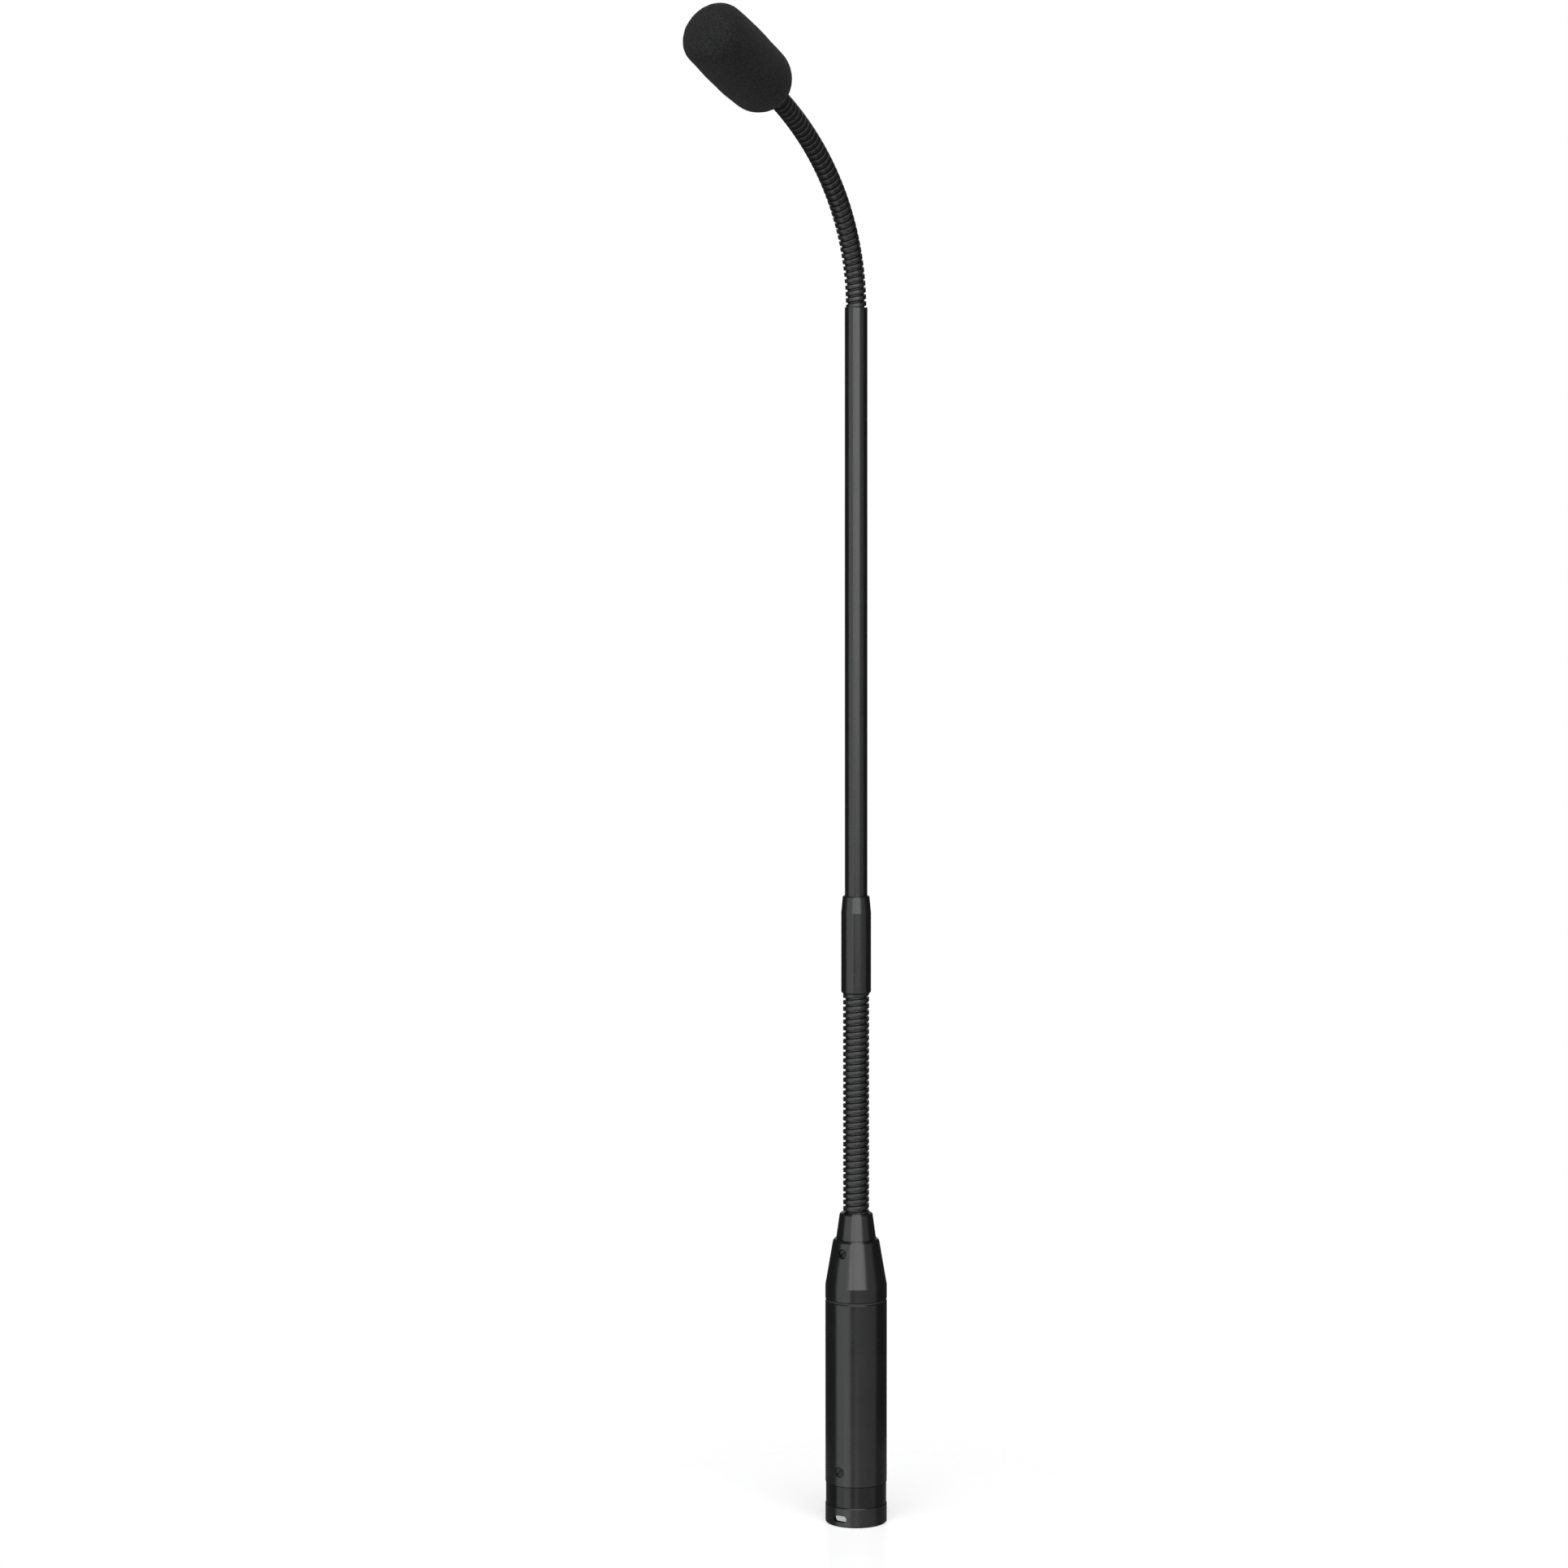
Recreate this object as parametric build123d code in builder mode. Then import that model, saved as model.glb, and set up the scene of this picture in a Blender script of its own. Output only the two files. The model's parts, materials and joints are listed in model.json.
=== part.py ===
"""Gooseneck podium microphone: XLR base with its preamplifier, lower and upper gooseneck, foam windscreen.

Frame: origin at the centre of the connector's rim, +Z up along the housing, front towards -Y.
All sizes are millimetres. The upper gooseneck is stored bent forward, towards the talker.
"""

import os
from math import acos, cos, degrees, radians, sin

from build123d import *

os.makedirs("parts", exist_ok=True)

# ---------------------------------------------------------------- driving dimensions
# Three-pin male connector in the foot
shell_d = 19.0  # outside of the connector shell's rim ring, and of the housing over it
shell_wall = 1.4  # of the rim ring, round the hollow that takes the socket's nose
rim_ring_h = 6.2
shell_neck_wall = 0.85  # of the thinner part of the shell, under the band and the housing
shell_length = 24.0
rim_chamfer = 0.35
window_w = 4.7  # latch window in the shell's front
window_h = 2.0
window_z = 2.6
insert_depth = 15.0  # rim to the face of the insulating insert
pin_d = 2.4
pin_recess = 2.6  # rim to the pin tips
pin_circle_d = 9.5
pin_seat_d = 2.9  # inside the insert
pin_tail_d = 1.6
pin_tail_length = 4.0  # out of the insert's back

# Preamplifier housing
band_h = 6.4
band_recess = 0.16  # how far the band lies below the housing's surface
housing_length = 57.0
edge_round = 0.25  # broken edges of the turned parts
connector_screw_d = 2.9
connector_screw_hole_d = 3.3
connector_screw_above_band = 4.6
screw_slot_w = 0.55
screw_slot_depth = 0.6
screw_recess = 0.35

# Gasket and the two cones on top of the housing
gasket_h = 0.5
gasket_recess = 0.14
collar_foot_h = 4.3
collar_cone_h = 14.4
collar_shoulder = 0.9  # how far the collar's top stands out round the neck cone's foot
collar_spigot_length = 8.0
collar_spigot_wall = 1.6
collar_screw_d = 2.6
collar_screw_hole_d = 3.0
collar_screw_below_top = 3.8
neck_cone_h = 8.1
neck_cone_lip = 1.0  # how far its top stands out round the lower neck
neck_cone_flare = 1.15  # how much wider its foot is, in radius
neck_cone_wall = 1.65  # round the lower neck's ferrule
neck_cone_shank_length = 12.0

# Both goosenecks: ribbed links, hinged in turn to the front and to the side
rib_pitch = 2.0
ribs_per_link = 3
rib_w = 1.1
rib_edge = 0.2  # bevel on the ribs' outer edges
cable_room = 0.249  # radial, between the cable and the upper neck's liners
cable_gap = 0.5  # between the cable's lengths, past each hinge
liner_reach = 1.2  # of each link's inner sleeve past the hinge
liner_wall = 0.35
liner_room = 0.1  # radial, between a liner and the next link's bore
ferrule_length = 12.0  # of each neck's end inside the part that holds it
hinge_limit = 17.0  # degrees, the largest kink at any hinge

lower_neck_d = 8.0
lower_neck_groove = 0.7  # depth of the grooves between the ribs
lower_neck_wall = 0.6  # under the grooves
lower_neck_joints = 12
lower_neck_stub = 1.0  # from each end part to the nearest hinge
lower_neck_joint_gap = 1.15  # between neighbouring links' end ribs

upper_neck_d = 6.2
upper_neck_groove = 0.55
upper_neck_wall = 0.3
upper_neck_joints = 14
upper_neck_low_stub = 2.0
upper_neck_high_stub = 4.0
upper_neck_joint_gap = 1.1
upper_neck_bend = 63.7  # degrees that the stored neck leans forward at its end
upper_neck_bend_bias = 0.46  # 0 bends evenly, more bends more near the tube

# Coupling sleeve and stem tube
sleeve_lip = 0.57  # how far it stands out round the lower neck
sleeve_length = 30.1
sleeve_taper_h = 5.1
sleeve_top_lip = 0.66  # how far its top stands out round the stem tube
sleeve_chamfer = 0.5
ferrule_wall = 0.3  # that fills the stem tube round the upper neck's foot
stem_wall = 0.6
stem_above_sleeve = 178.8
stem_in_sleeve = 14.0
bush_length = 6.0

# Microphone head
head_d = 8.2
head_wall = 0.65
head_collar_length = 5.0
head_spigot_length = 3.0
head_housing_length = 22.0
slot_length = 6.0  # sound inlets in the side of the capsule housing
slot_w = 0.8
slot_count = 6
slot_start = 12.0  # from the housing's back edge
grille_cap_h = 2.4
grille_cap_wall = 0.7
grille_hole_d = 0.8
felt_thickness = 0.5
capsule_room = 0.45  # radial, between the capsule and the housing's bore
capsule_length = 5.0
capsule_board_thickness = 0.8
lead_d = 0.7

# Foam windscreen
foam_d = 20.0
foam_crown = 0.3  # how much its middle stands proud of a straight cylinder
foam_nose = 4.45  # thickness of foam in front of its bore
foam_front_radius = 4.4
foam_back_length = 11.3  # of the rounded back end
foam_dome = 0.5  # rise of the front face
foam_over_neck = 5.8  # foam's back end to the end of the neck

# Preamplifier board and what stands on it
board_side_gap = 1.48  # from each side of the board to the housing's bore
board_thickness = 1.0
board_end_gap = 2.5  # board to the pins' tails below it, and to the collar above it
capacitor_d = 5.0
capacitor_length = 8.0
transistor_size = 4.6
resistor_d = 1.8
resistor_length = 5.2

# Fits
slip = 0.05  # radial, between parts pushed into each other
housing_ease = 0.03  # radial, more than slip, between the shell and the housing
loose = 0.3  # radial, between the foam and what it slides over
wire_d = 0.9

# Small details
link_shoulder = 0.8  # a link's bore widens this far above its middle
pin_tip_round = 0.3  # share of the pin's diameter
clip_eye_wall = 0.9
clip_foot_gap = 0.4
clip_w = 2.0
screw_point = 0.3
screw_slot_turn = 35
board_corner = 0.8
capacitor_places = (0.12, 0.72)  # shares of the board's length, from its foot
capacitor_share = 0.26
transistor_place = 0.48
transistor_share = 0.15
transistor_gap = 0.6
transistor_depth = 0.6 * transistor_size
transistor_round = 0.22 * transistor_size
resistor_places = (0.1, 0.4, 0.7)
resistor_share = 0.2
wire_place = 0.07
wire_straight = 0.8  # length before a wire's first bend
wire_clear = 0.4
wire_bend = 0.35
wire_spread = 0.6
core_offset = 0.6
core_spread = 2.0
core_reach = 1.2
grommet_wall = 1.2
grommet_foot = 1.5
collar_edge_out = 0.1
collar_edge_down = 0.7
collar_edge_in = 0.45
cone_edge_out = 0.1
cone_edge_down = 0.5
cone_edge_in = 0.35
head_edge_in = 0.9
head_edge_up = 1.2
grille_edge = 0.8
grille_hole_extra = 0.2
grille_inner_ring = 0.3  # shares of the head's radius
grille_outer_ring = 0.57
grille_inner_holes = 6
capsule_edge = 0.2
capsule_step = 0.3
capsule_gasket_down = 1.6

# ---------------------------------------------------------------- diameters worked out from them
shell_bore_d = shell_d - 2 * shell_wall
shell_neck_d = shell_bore_d + 2 * shell_neck_wall
housing_d = shell_d
housing_bore_d = shell_neck_d + 2 * housing_ease
band_d = housing_d - 2 * band_recess
gasket_d = housing_d - 2 * gasket_recess
board_w = housing_bore_d - 2 * board_side_gap
lower_neck_root_d = lower_neck_d - 2 * lower_neck_groove
lower_neck_bore_d = lower_neck_root_d - 2 * lower_neck_wall
upper_neck_root_d = upper_neck_d - 2 * upper_neck_groove
upper_neck_bore_d = upper_neck_root_d - 2 * upper_neck_wall
collar_bore_d = lower_neck_root_d + 2 * neck_cone_wall
neck_cone_top_d = lower_neck_d + 2 * neck_cone_lip
neck_cone_foot_d = neck_cone_top_d + 2 * neck_cone_flare
collar_top_d = neck_cone_foot_d + 2 * collar_shoulder
sleeve_d = lower_neck_d + 2 * sleeve_lip
stem_bore_d = upper_neck_root_d + 2 * ferrule_wall
stem_d = stem_bore_d + 2 * stem_wall
sleeve_top_d = stem_d + 2 * sleeve_top_lip
capsule_d = head_d - 2 * head_wall - 2 * capsule_room

# ---------------------------------------------------------------- heights worked out from them
band_z = rim_ring_h
housing_z = band_z + band_h
gasket_z = housing_z + housing_length
collar_z = gasket_z + gasket_h
collar_cone_z = collar_z + collar_foot_h
neck_cone_z = collar_cone_z + collar_cone_h
lower_neck_z = neck_cone_z + neck_cone_h
link_length = rib_pitch * ribs_per_link
lower_neck_length = 2 * lower_neck_stub + (lower_neck_joints - 1) * link_length
sleeve_z = lower_neck_z + lower_neck_length
stem_z = sleeve_z + sleeve_length
upper_neck_z = stem_z + stem_above_sleeve
upper_neck_length = upper_neck_low_stub + upper_neck_high_stub + (upper_neck_joints - 1) * link_length
connector_screw_z = housing_z + connector_screw_above_band
collar_screw_z = neck_cone_z - collar_screw_below_top
cable_start = liner_reach + cable_gap  # of each length of cable, past the hinge under it
up = Vector(0, 0, 1)
base = Vector(0, 0, 0)


# ---------------------------------------------------------------- shared geometry
def side_plane(origin, direction):
    """Plane through the line from origin along direction: local x is row +X, local y runs along the line."""
    return Plane(origin=origin, x_dir=(1, 0, 0), z_dir=Vector(1, 0, 0).cross(direction))


def across_plane(origin, direction, height=0):
    """Plane square to direction, a height along it from origin, with its local x along row +X."""
    return Plane(origin=origin + direction * height, x_dir=(1, 0, 0), z_dir=direction)


def lean(angle):
    """Direction that leans forward from +Z by an angle in degrees."""
    return Vector(0, -sin(radians(angle)), cos(radians(angle)))


def rib_outline(outer_r, root_r, low, high, centres):
    """Points up the outside of a ribbed tube from low to high; ribs are cut off at both ends."""
    points = []
    for centre in centres:
        start = max(low, centre - rib_w / 2)
        end = min(high, centre + rib_w / 2)
        if end - start < rib_edge:
            continue
        edge = min(rib_edge, (end - start) / 3)
        if start > low:
            points += [(root_r, start)]
        points += [(outer_r - edge, start), (outer_r, start + edge)]
        points += [(outer_r, end - edge), (outer_r - edge, end)]
        if end < high:
            points += [(root_r, end)]
    return points


def neck_link(origin, direction, outer_d, root_d, bore_d, joint_gap):
    """One gooseneck link: a ribbed tube with an inner sleeve that reaches into the next link, and its cable."""
    low = joint_gap / 2
    high = link_length - joint_gap / 2
    bore_r = bore_d / 2
    liner_r = liner_radius(bore_d)
    shoulder = link_length / 2 + link_shoulder
    centres = [rib_pitch * (n + 0.5) for n in range(ribs_per_link)]
    with BuildPart() as link:
        with BuildSketch(side_plane(origin, direction)):
            with BuildLine():
                Polyline(
                    (bore_r, low),
                    *rib_outline(outer_d / 2, root_d / 2, low, high, centres),
                    (liner_r, high),
                    (liner_r, link_length + liner_reach),
                    (liner_r - liner_wall, link_length + liner_reach),
                    (liner_r - liner_wall, shoulder + bore_r - liner_r + liner_wall),
                    (bore_r, shoulder),
                    close=True,
                )
            make_face()
        revolve(axis=Axis(origin, direction))
        with BuildSketch(across_plane(origin, direction, cable_start)):
            Circle(cable_d / 2)
        extrude(amount=link_length + liner_reach - cable_start)
    return link


def liner_radius(bore_d):
    """Outer radius of a link's inner sleeve that stays clear of the next link's bore at the largest bend."""
    return bore_d / 2 - liner_room - liner_reach * sin(radians(hinge_limit))


cable_d = 2 * (liner_radius(upper_neck_bore_d) - liner_wall - cable_room)


def ring(origin, direction, outer_d, inner_d, low, high):
    """Plain ring between two heights along an axis."""
    with BuildPart() as piece:
        with BuildSketch(across_plane(origin, direction, low)):
            Circle(outer_d / 2)
            Circle(inner_d / 2, mode=Mode.SUBTRACT)
        extrude(amount=high - low)
    return piece


# ---------------------------------------------------------------- connector
shell_r = shell_d / 2
shell_neck_r = shell_neck_d / 2
shell_bore_r = shell_bore_d / 2
with BuildPart() as connector_shell:
    with BuildSketch(side_plane(base, up)):
        with BuildLine():
            Polyline(
                (shell_bore_r, rim_chamfer),
                (shell_bore_r + rim_chamfer, 0),
                (shell_r - rim_chamfer, 0),
                (shell_r, rim_chamfer),
                (shell_r, rim_ring_h - rim_chamfer),
                (shell_r - rim_chamfer, rim_ring_h),
                (shell_neck_r, rim_ring_h),
                (shell_neck_r, shell_length),
                (shell_bore_r, shell_length),
                close=True,
            )
        make_face()
    revolve(axis=Axis.Z)
    with BuildSketch(Plane.XZ.offset(shell_bore_r - 2)):
        with Locations((0, window_z)):
            SlotOverall(window_w, window_h)
    extrude(amount=4, mode=Mode.SUBTRACT)
    with BuildSketch(Plane.XZ.offset(shell_bore_r - 2)):
        with Locations((0, connector_screw_z)):
            Circle(connector_screw_d / 2 + slip)
    extrude(amount=4, mode=Mode.SUBTRACT)
connector_shell.part.label = "connector_shell"
export_step(connector_shell.part, "parts/connector_shell.step")

insert_r = shell_bore_r - slip
pin_spots = [(-pin_circle_d / 2, 0), (pin_circle_d / 2, 0), (0, pin_circle_d / 2)]
screw_seat_y = insert_r - 1.4  # the connector screw's tip, from the axis
with BuildPart() as connector_insert:
    with BuildSketch(Plane.XY.offset(insert_depth)):
        Circle(insert_r)
        with Locations(*pin_spots):
            Circle(pin_seat_d / 2 + slip, mode=Mode.SUBTRACT)
    extrude(amount=shell_length - insert_depth)
    with BuildSketch(Plane.XZ.offset(screw_seat_y - slip)):
        with Locations((0, connector_screw_z)):
            Circle(connector_screw_d / 2 + slip)
    extrude(amount=4, mode=Mode.SUBTRACT)
connector_insert.part.label = "connector_insert"
export_step(connector_insert.part, "parts/connector_insert.step")

with BuildPart() as contact_pins:
    with BuildSketch(Plane.XY.offset(pin_recess)):
        with Locations(*pin_spots):
            Circle(pin_d / 2)
    extrude(amount=insert_depth - pin_recess)
    tip_edges = contact_pins.edges().filter_by(GeomType.CIRCLE).group_by(Axis.Z)[0]
    fillet(tip_edges, radius=pin_d * pin_tip_round)
    with BuildSketch(Plane.XY.offset(insert_depth)):
        with Locations(*pin_spots):
            Circle(pin_seat_d / 2)
    extrude(amount=shell_length - insert_depth)
    with BuildSketch(Plane.XY.offset(shell_length)):
        with Locations(*pin_spots):
            Circle(pin_tail_d / 2)
    extrude(amount=pin_tail_length)
contact_pins.part.label = "contact_pins"
export_step(contact_pins.part, "parts/contact_pins.step")

# Springy strip that joins the ground pin's tail to the shell's back edge
clip_thickness = 0.4
clip_z = shell_length + slip
with BuildPart() as ground_clip:
    with BuildSketch(Plane.XY.offset(clip_z)):
        with Locations((-pin_circle_d / 2, 0)):
            Circle(pin_tail_d / 2 + clip_eye_wall)
        with Locations((-(pin_circle_d / 2 + shell_neck_r) / 2, 0)):
            Rectangle(shell_neck_r - pin_circle_d / 2 - clip_foot_gap, clip_w)
        with Locations((-pin_circle_d / 2, 0)):
            Circle(pin_tail_d / 2 + slip, mode=Mode.SUBTRACT)
    extrude(amount=clip_thickness)
ground_clip.part.label = "ground_clip"
export_step(ground_clip.part, "parts/ground_clip.step")

glossy_band = ring(base, up, band_d, shell_neck_d + 2 * slip, band_z, housing_z)
glossy_band.part.label = "glossy_band"
export_step(glossy_band.part, "parts/glossy_band.step")

# ---------------------------------------------------------------- preamplifier housing
housing_r = housing_d / 2
with BuildPart() as preamp_housing:
    with BuildSketch(side_plane(base, up)):
        with BuildLine():
            Polyline(
                (housing_bore_d / 2 + slip, housing_z),
                (housing_r - edge_round, housing_z),
                (housing_r, housing_z + edge_round),
                (housing_r, gasket_z - edge_round),
                (housing_r - edge_round, gasket_z),
                (housing_bore_d / 2 + slip, gasket_z),
                close=True,
            )
        make_face()
    revolve(axis=Axis.Z)
    with BuildSketch(Plane.XZ.offset(housing_bore_d / 2 - 1)):
        with Locations((0, connector_screw_z)):
            Circle(connector_screw_hole_d / 2)
    extrude(amount=3, mode=Mode.SUBTRACT)
preamp_housing.part.label = "preamp_housing"
export_step(preamp_housing.part, "parts/preamp_housing.step")


def slotted_screw(tip_y, head_y, height, diameter):
    """Headless screw lying along the front radius, with its slotted end outwards."""
    with BuildPart() as screw:
        with BuildSketch(Plane.XZ.offset(tip_y)):
            with Locations((0, height)):
                Circle(diameter / 2)
        extrude(amount=head_y - tip_y)
        chamfer(screw.edges().group_by(Axis.Y)[-1], length=screw_point)
        with BuildSketch(Plane.XZ.offset(head_y - screw_slot_depth)):
            with Locations((0, height)):
                Rectangle(diameter + 1, screw_slot_w, rotation=screw_slot_turn)
        extrude(amount=screw_slot_depth + 1, mode=Mode.SUBTRACT)
    return screw


connector_screw_head_y = housing_r - screw_recess
connector_screw = slotted_screw(
    screw_seat_y, connector_screw_head_y, connector_screw_z, connector_screw_d
)
connector_screw.part.label = "connector_screw"
export_step(connector_screw.part, "parts/connector_screw.step")

# Board stands upright across the housing
board_z = shell_length + pin_tail_length + board_end_gap
spigot_z = collar_z - collar_spigot_length
board_length = spigot_z - board_end_gap - board_z
board_front_y = board_thickness / 2
with BuildPart() as preamp_board:
    with BuildSketch(Plane.XZ.offset(-board_front_y)):
        with Locations((0, board_z + board_length / 2)):
            Rectangle(board_w, board_length)
    extrude(amount=board_thickness)
    upright_edges = preamp_board.edges().filter_by(Axis.Y)
    chamfer(upright_edges, length=board_corner)
preamp_board.part.label = "preamp_board"
export_step(preamp_board.part, "parts/preamp_board.step")


def board_height(share):
    """Height at a share of the board's length, from its lower edge."""
    return board_z + share * board_length


# Cans lie flat on the front of the board, one above the other
can_y = board_front_y + capacitor_d / 2
with BuildPart() as board_capacitors:
    for share in capacitor_places:
        with BuildSketch(Plane.XY.offset(board_height(share))):
            with Locations((0, -can_y)):
                Circle(capacitor_d / 2)
        extrude(amount=min(capacitor_length, capacitor_share * board_length))
board_capacitors.part.label = "board_capacitors"
export_step(board_capacitors.part, "parts/board_capacitors.step")

with BuildPart() as board_transistors:
    for side in (-1, 1):
        with BuildSketch(Plane.XY.offset(board_height(transistor_place))):
            with Locations((side * (transistor_size / 2 + transistor_gap), -board_front_y - transistor_depth / 2)):
                Rectangle(transistor_size, transistor_depth)
        extrude(amount=min(transistor_size, transistor_share * board_length))
    fillet(board_transistors.edges().filter_by(Axis.Z).group_by(Axis.Y)[0], radius=transistor_round)
board_transistors.part.label = "board_transistors"
export_step(board_transistors.part, "parts/board_transistors.step")

# Resistors stand in two columns on the back of the board
with BuildPart() as board_resistors:
    for share in resistor_places:
        with BuildSketch(Plane.XY.offset(board_height(share))):
            with Locations(*[(x, board_front_y + resistor_d / 2) for x in (-4, 0, 4)]):
                Circle(resistor_d / 2)
        extrude(amount=min(resistor_length, resistor_share * board_length))
board_resistors.part.label = "board_resistors"
export_step(board_resistors.part, "parts/board_resistors.step")

# One wire from each pin's tail up to the back face of the board
tail_top = shell_length + pin_tail_length
wire_y = board_front_y + wire_d / 2
wire_top = board_height(wire_place)
with BuildPart() as pin_wires:
    for spot_x, spot_y in pin_spots:
        foot = Vector(spot_x, spot_y, tail_top)
        bend_low = Vector(spot_x, spot_y, tail_top + wire_straight)
        aim_x = wire_spread * spot_x
        bend_high = Vector(aim_x, wire_y, board_z - wire_clear)
        with BuildLine() as route:
            FilletPolyline(foot, bend_low, bend_high, Vector(aim_x, wire_y, wire_top), radius=wire_bend)
        with BuildSketch(Plane(origin=foot, z_dir=up)):
            Circle(wire_d / 2)
        sweep(path=route.wires()[0])
pin_wires.part.label = "pin_wires"
export_step(pin_wires.part, "parts/pin_wires.step")

# ---------------------------------------------------------------- gasket, collar and neck cone
gasket = ring(base, up, gasket_d, housing_bore_d + 4 * slip, gasket_z, collar_z)
gasket.part.label = "housing_gasket"
export_step(gasket.part, "parts/housing_gasket.step")

collar_r = housing_d / 2
collar_top_r = collar_top_d / 2
collar_spigot_r = housing_bore_d / 2 - slip
spigot_bore_r = collar_spigot_r - collar_spigot_wall
collar_floor_z = neck_cone_z - neck_cone_shank_length
with BuildPart() as cone_collar:
    with BuildSketch(side_plane(base, up)):
        with BuildLine():
            Polyline(
                (spigot_bore_r, spigot_z),
                (collar_spigot_r, spigot_z),
                (collar_spigot_r, collar_z),
                (collar_r - edge_round, collar_z),
                (collar_r, collar_z + edge_round),
                (collar_r, collar_cone_z),
                (collar_top_r + collar_edge_out, neck_cone_z - collar_edge_down),
                (collar_top_r - collar_edge_in, neck_cone_z),
                (collar_bore_d / 2, neck_cone_z),
                (collar_bore_d / 2, collar_floor_z - 2 * slip),
                (spigot_bore_r, collar_floor_z - 4),
                close=True,
            )
        make_face()
    revolve(axis=Axis.Z)
    with BuildSketch(Plane.XZ.offset(collar_bore_d / 2 - 1)):
        with Locations((0, collar_screw_z)):
            Circle(collar_screw_hole_d / 2)
    extrude(amount=collar_r - collar_bore_d / 2 + 2, mode=Mode.SUBTRACT)
cone_collar.part.label = "cone_collar"
export_step(cone_collar.part, "parts/cone_collar.step")

collar_slope = (collar_r - collar_top_r) / collar_cone_h
collar_r_at_screw = collar_top_r + collar_slope * collar_screw_below_top
shank_r = collar_bore_d / 2 - slip
collar_screw_head_y = collar_r_at_screw - screw_recess - 0.3
collar_screw = slotted_screw(shank_r, collar_screw_head_y, collar_screw_z, collar_screw_d)
collar_screw.part.label = "collar_screw"
export_step(collar_screw.part, "parts/collar_screw.step")

lower_ferrule_r = lower_neck_root_d / 2
cable_hole_r = cable_d / 2 + 0.3
neck_cone_hole_z = lower_neck_z - ferrule_length
with BuildPart() as neck_cone:
    with BuildSketch(side_plane(base, up)):
        with BuildLine():
            Polyline(
                (cable_hole_r + grommet_wall, collar_floor_z),
                (shank_r, collar_floor_z),
                (shank_r, neck_cone_z + slip),
                (neck_cone_foot_d / 2, neck_cone_z + slip),
                (neck_cone_top_d / 2 + cone_edge_out, lower_neck_z - cone_edge_down),
                (neck_cone_top_d / 2 - cone_edge_in, lower_neck_z),
                (lower_ferrule_r + slip, lower_neck_z),
                (lower_ferrule_r + slip, neck_cone_hole_z - slip),
                (cable_hole_r + grommet_wall, neck_cone_hole_z - slip),
                close=True,
            )
        make_face()
    revolve(axis=Axis.Z)
neck_cone.part.label = "neck_cone"
export_step(neck_cone.part, "parts/neck_cone.step")

grommet_outer_d = 2 * (cable_hole_r + grommet_wall - slip)
grommet_high = neck_cone_hole_z - 2 * slip
cable_grommet = ring(base, up, grommet_outer_d, cable_d + 2 * slip, collar_floor_z - grommet_foot, grommet_high)
cable_grommet.part.label = "cable_grommet"
export_step(cable_grommet.part, "parts/cable_grommet.step")

# Cable from the board to the first hinge of the lower neck, with its two cores bent onto the board
lower_first_joint_z = lower_neck_z + lower_neck_stub
base_cable_z = spigot_z + 3.0
with BuildPart() as base_cable:
    with BuildSketch(Plane.XY.offset(base_cable_z)):
        Circle(cable_d / 2)
    extrude(amount=lower_first_joint_z + liner_reach - base_cable_z)
    for side in (-1, 1):
        core_start = Vector(side * core_offset, 0, base_cable_z)
        core_drop = Vector(side * core_offset, 0, base_cable_z - wire_straight)
        core_bend = Vector(side * core_spread, wire_y, board_z + board_length + wire_clear)
        core_end = Vector(side * core_spread, wire_y, board_z + board_length - core_reach)
        with BuildLine() as core_route:
            FilletPolyline(core_start, core_drop, core_bend, core_end, radius=wire_bend)
        with BuildSketch(Plane(origin=core_start, z_dir=-up)):
            Circle(wire_d / 2)
        sweep(path=core_route.wires()[0])
base_cable.part.label = "base_cable"
export_step(base_cable.part, "parts/base_cable.step")


# ---------------------------------------------------------------- gooseneck ends
def neck_foot(origin, direction, stub, outer_d, root_d, bore_d, joint_gap, shank_r):
    """Fixed lower end of a gooseneck: a shank, the first ribs and the sleeve that enters the first link."""
    high = stub - joint_gap / 2
    liner_r = liner_radius(bore_d)
    shank_step = [(shank_r, -slip), (root_d / 2, -slip)] if shank_r > root_d / 2 else []
    centres = [stub - rib_pitch * (n + 0.5) for n in range(int(stub / rib_pitch), -1, -1)]
    with BuildPart() as foot:
        with BuildSketch(side_plane(origin, direction)):
            with BuildLine():
                Polyline(
                    (liner_r - liner_wall, -ferrule_length),
                    (shank_r, -ferrule_length),
                    *shank_step,
                    (root_d / 2, 0),
                    *rib_outline(outer_d / 2, root_d / 2, 0, high, centres),
                    (liner_r, high),
                    (liner_r, stub + liner_reach),
                    (liner_r - liner_wall, stub + liner_reach),
                    close=True,
                )
            make_face()
        revolve(axis=Axis(origin, direction))
    return foot


def neck_top(origin, direction, stub, outer_d, root_d, bore_d, joint_gap, shank):
    """Fixed upper end of a gooseneck: takes the last link's sleeve, and ends in a shank past the origin."""
    low = joint_gap / 2 - stub
    centres = [rib_pitch * (n + 0.5) - stub for n in range(int(stub / rib_pitch) + 1)]
    with BuildPart() as top:
        with BuildSketch(side_plane(origin, direction)):
            with BuildLine():
                Polyline(
                    (bore_d / 2, low),
                    *rib_outline(outer_d / 2, root_d / 2, low, 0, centres),
                    (root_d / 2, 0),
                    (root_d / 2, shank),
                    (bore_d / 2, shank),
                    close=True,
                )
            make_face()
        revolve(axis=Axis(origin, direction))
    return top


lower_neck_size = (lower_neck_d, lower_neck_root_d, lower_neck_bore_d, lower_neck_joint_gap)
upper_neck_size = (upper_neck_d, upper_neck_root_d, upper_neck_bore_d, upper_neck_joint_gap)

lower_neck_start = up * lower_neck_z
lower_neck_foot = neck_foot(
    lower_neck_start, up, lower_neck_stub, *lower_neck_size, shank_r=lower_ferrule_r
)
lower_neck_foot.part.label = "lower_neck_foot"
export_step(lower_neck_foot.part, "parts/lower_neck_foot.step")

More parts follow.
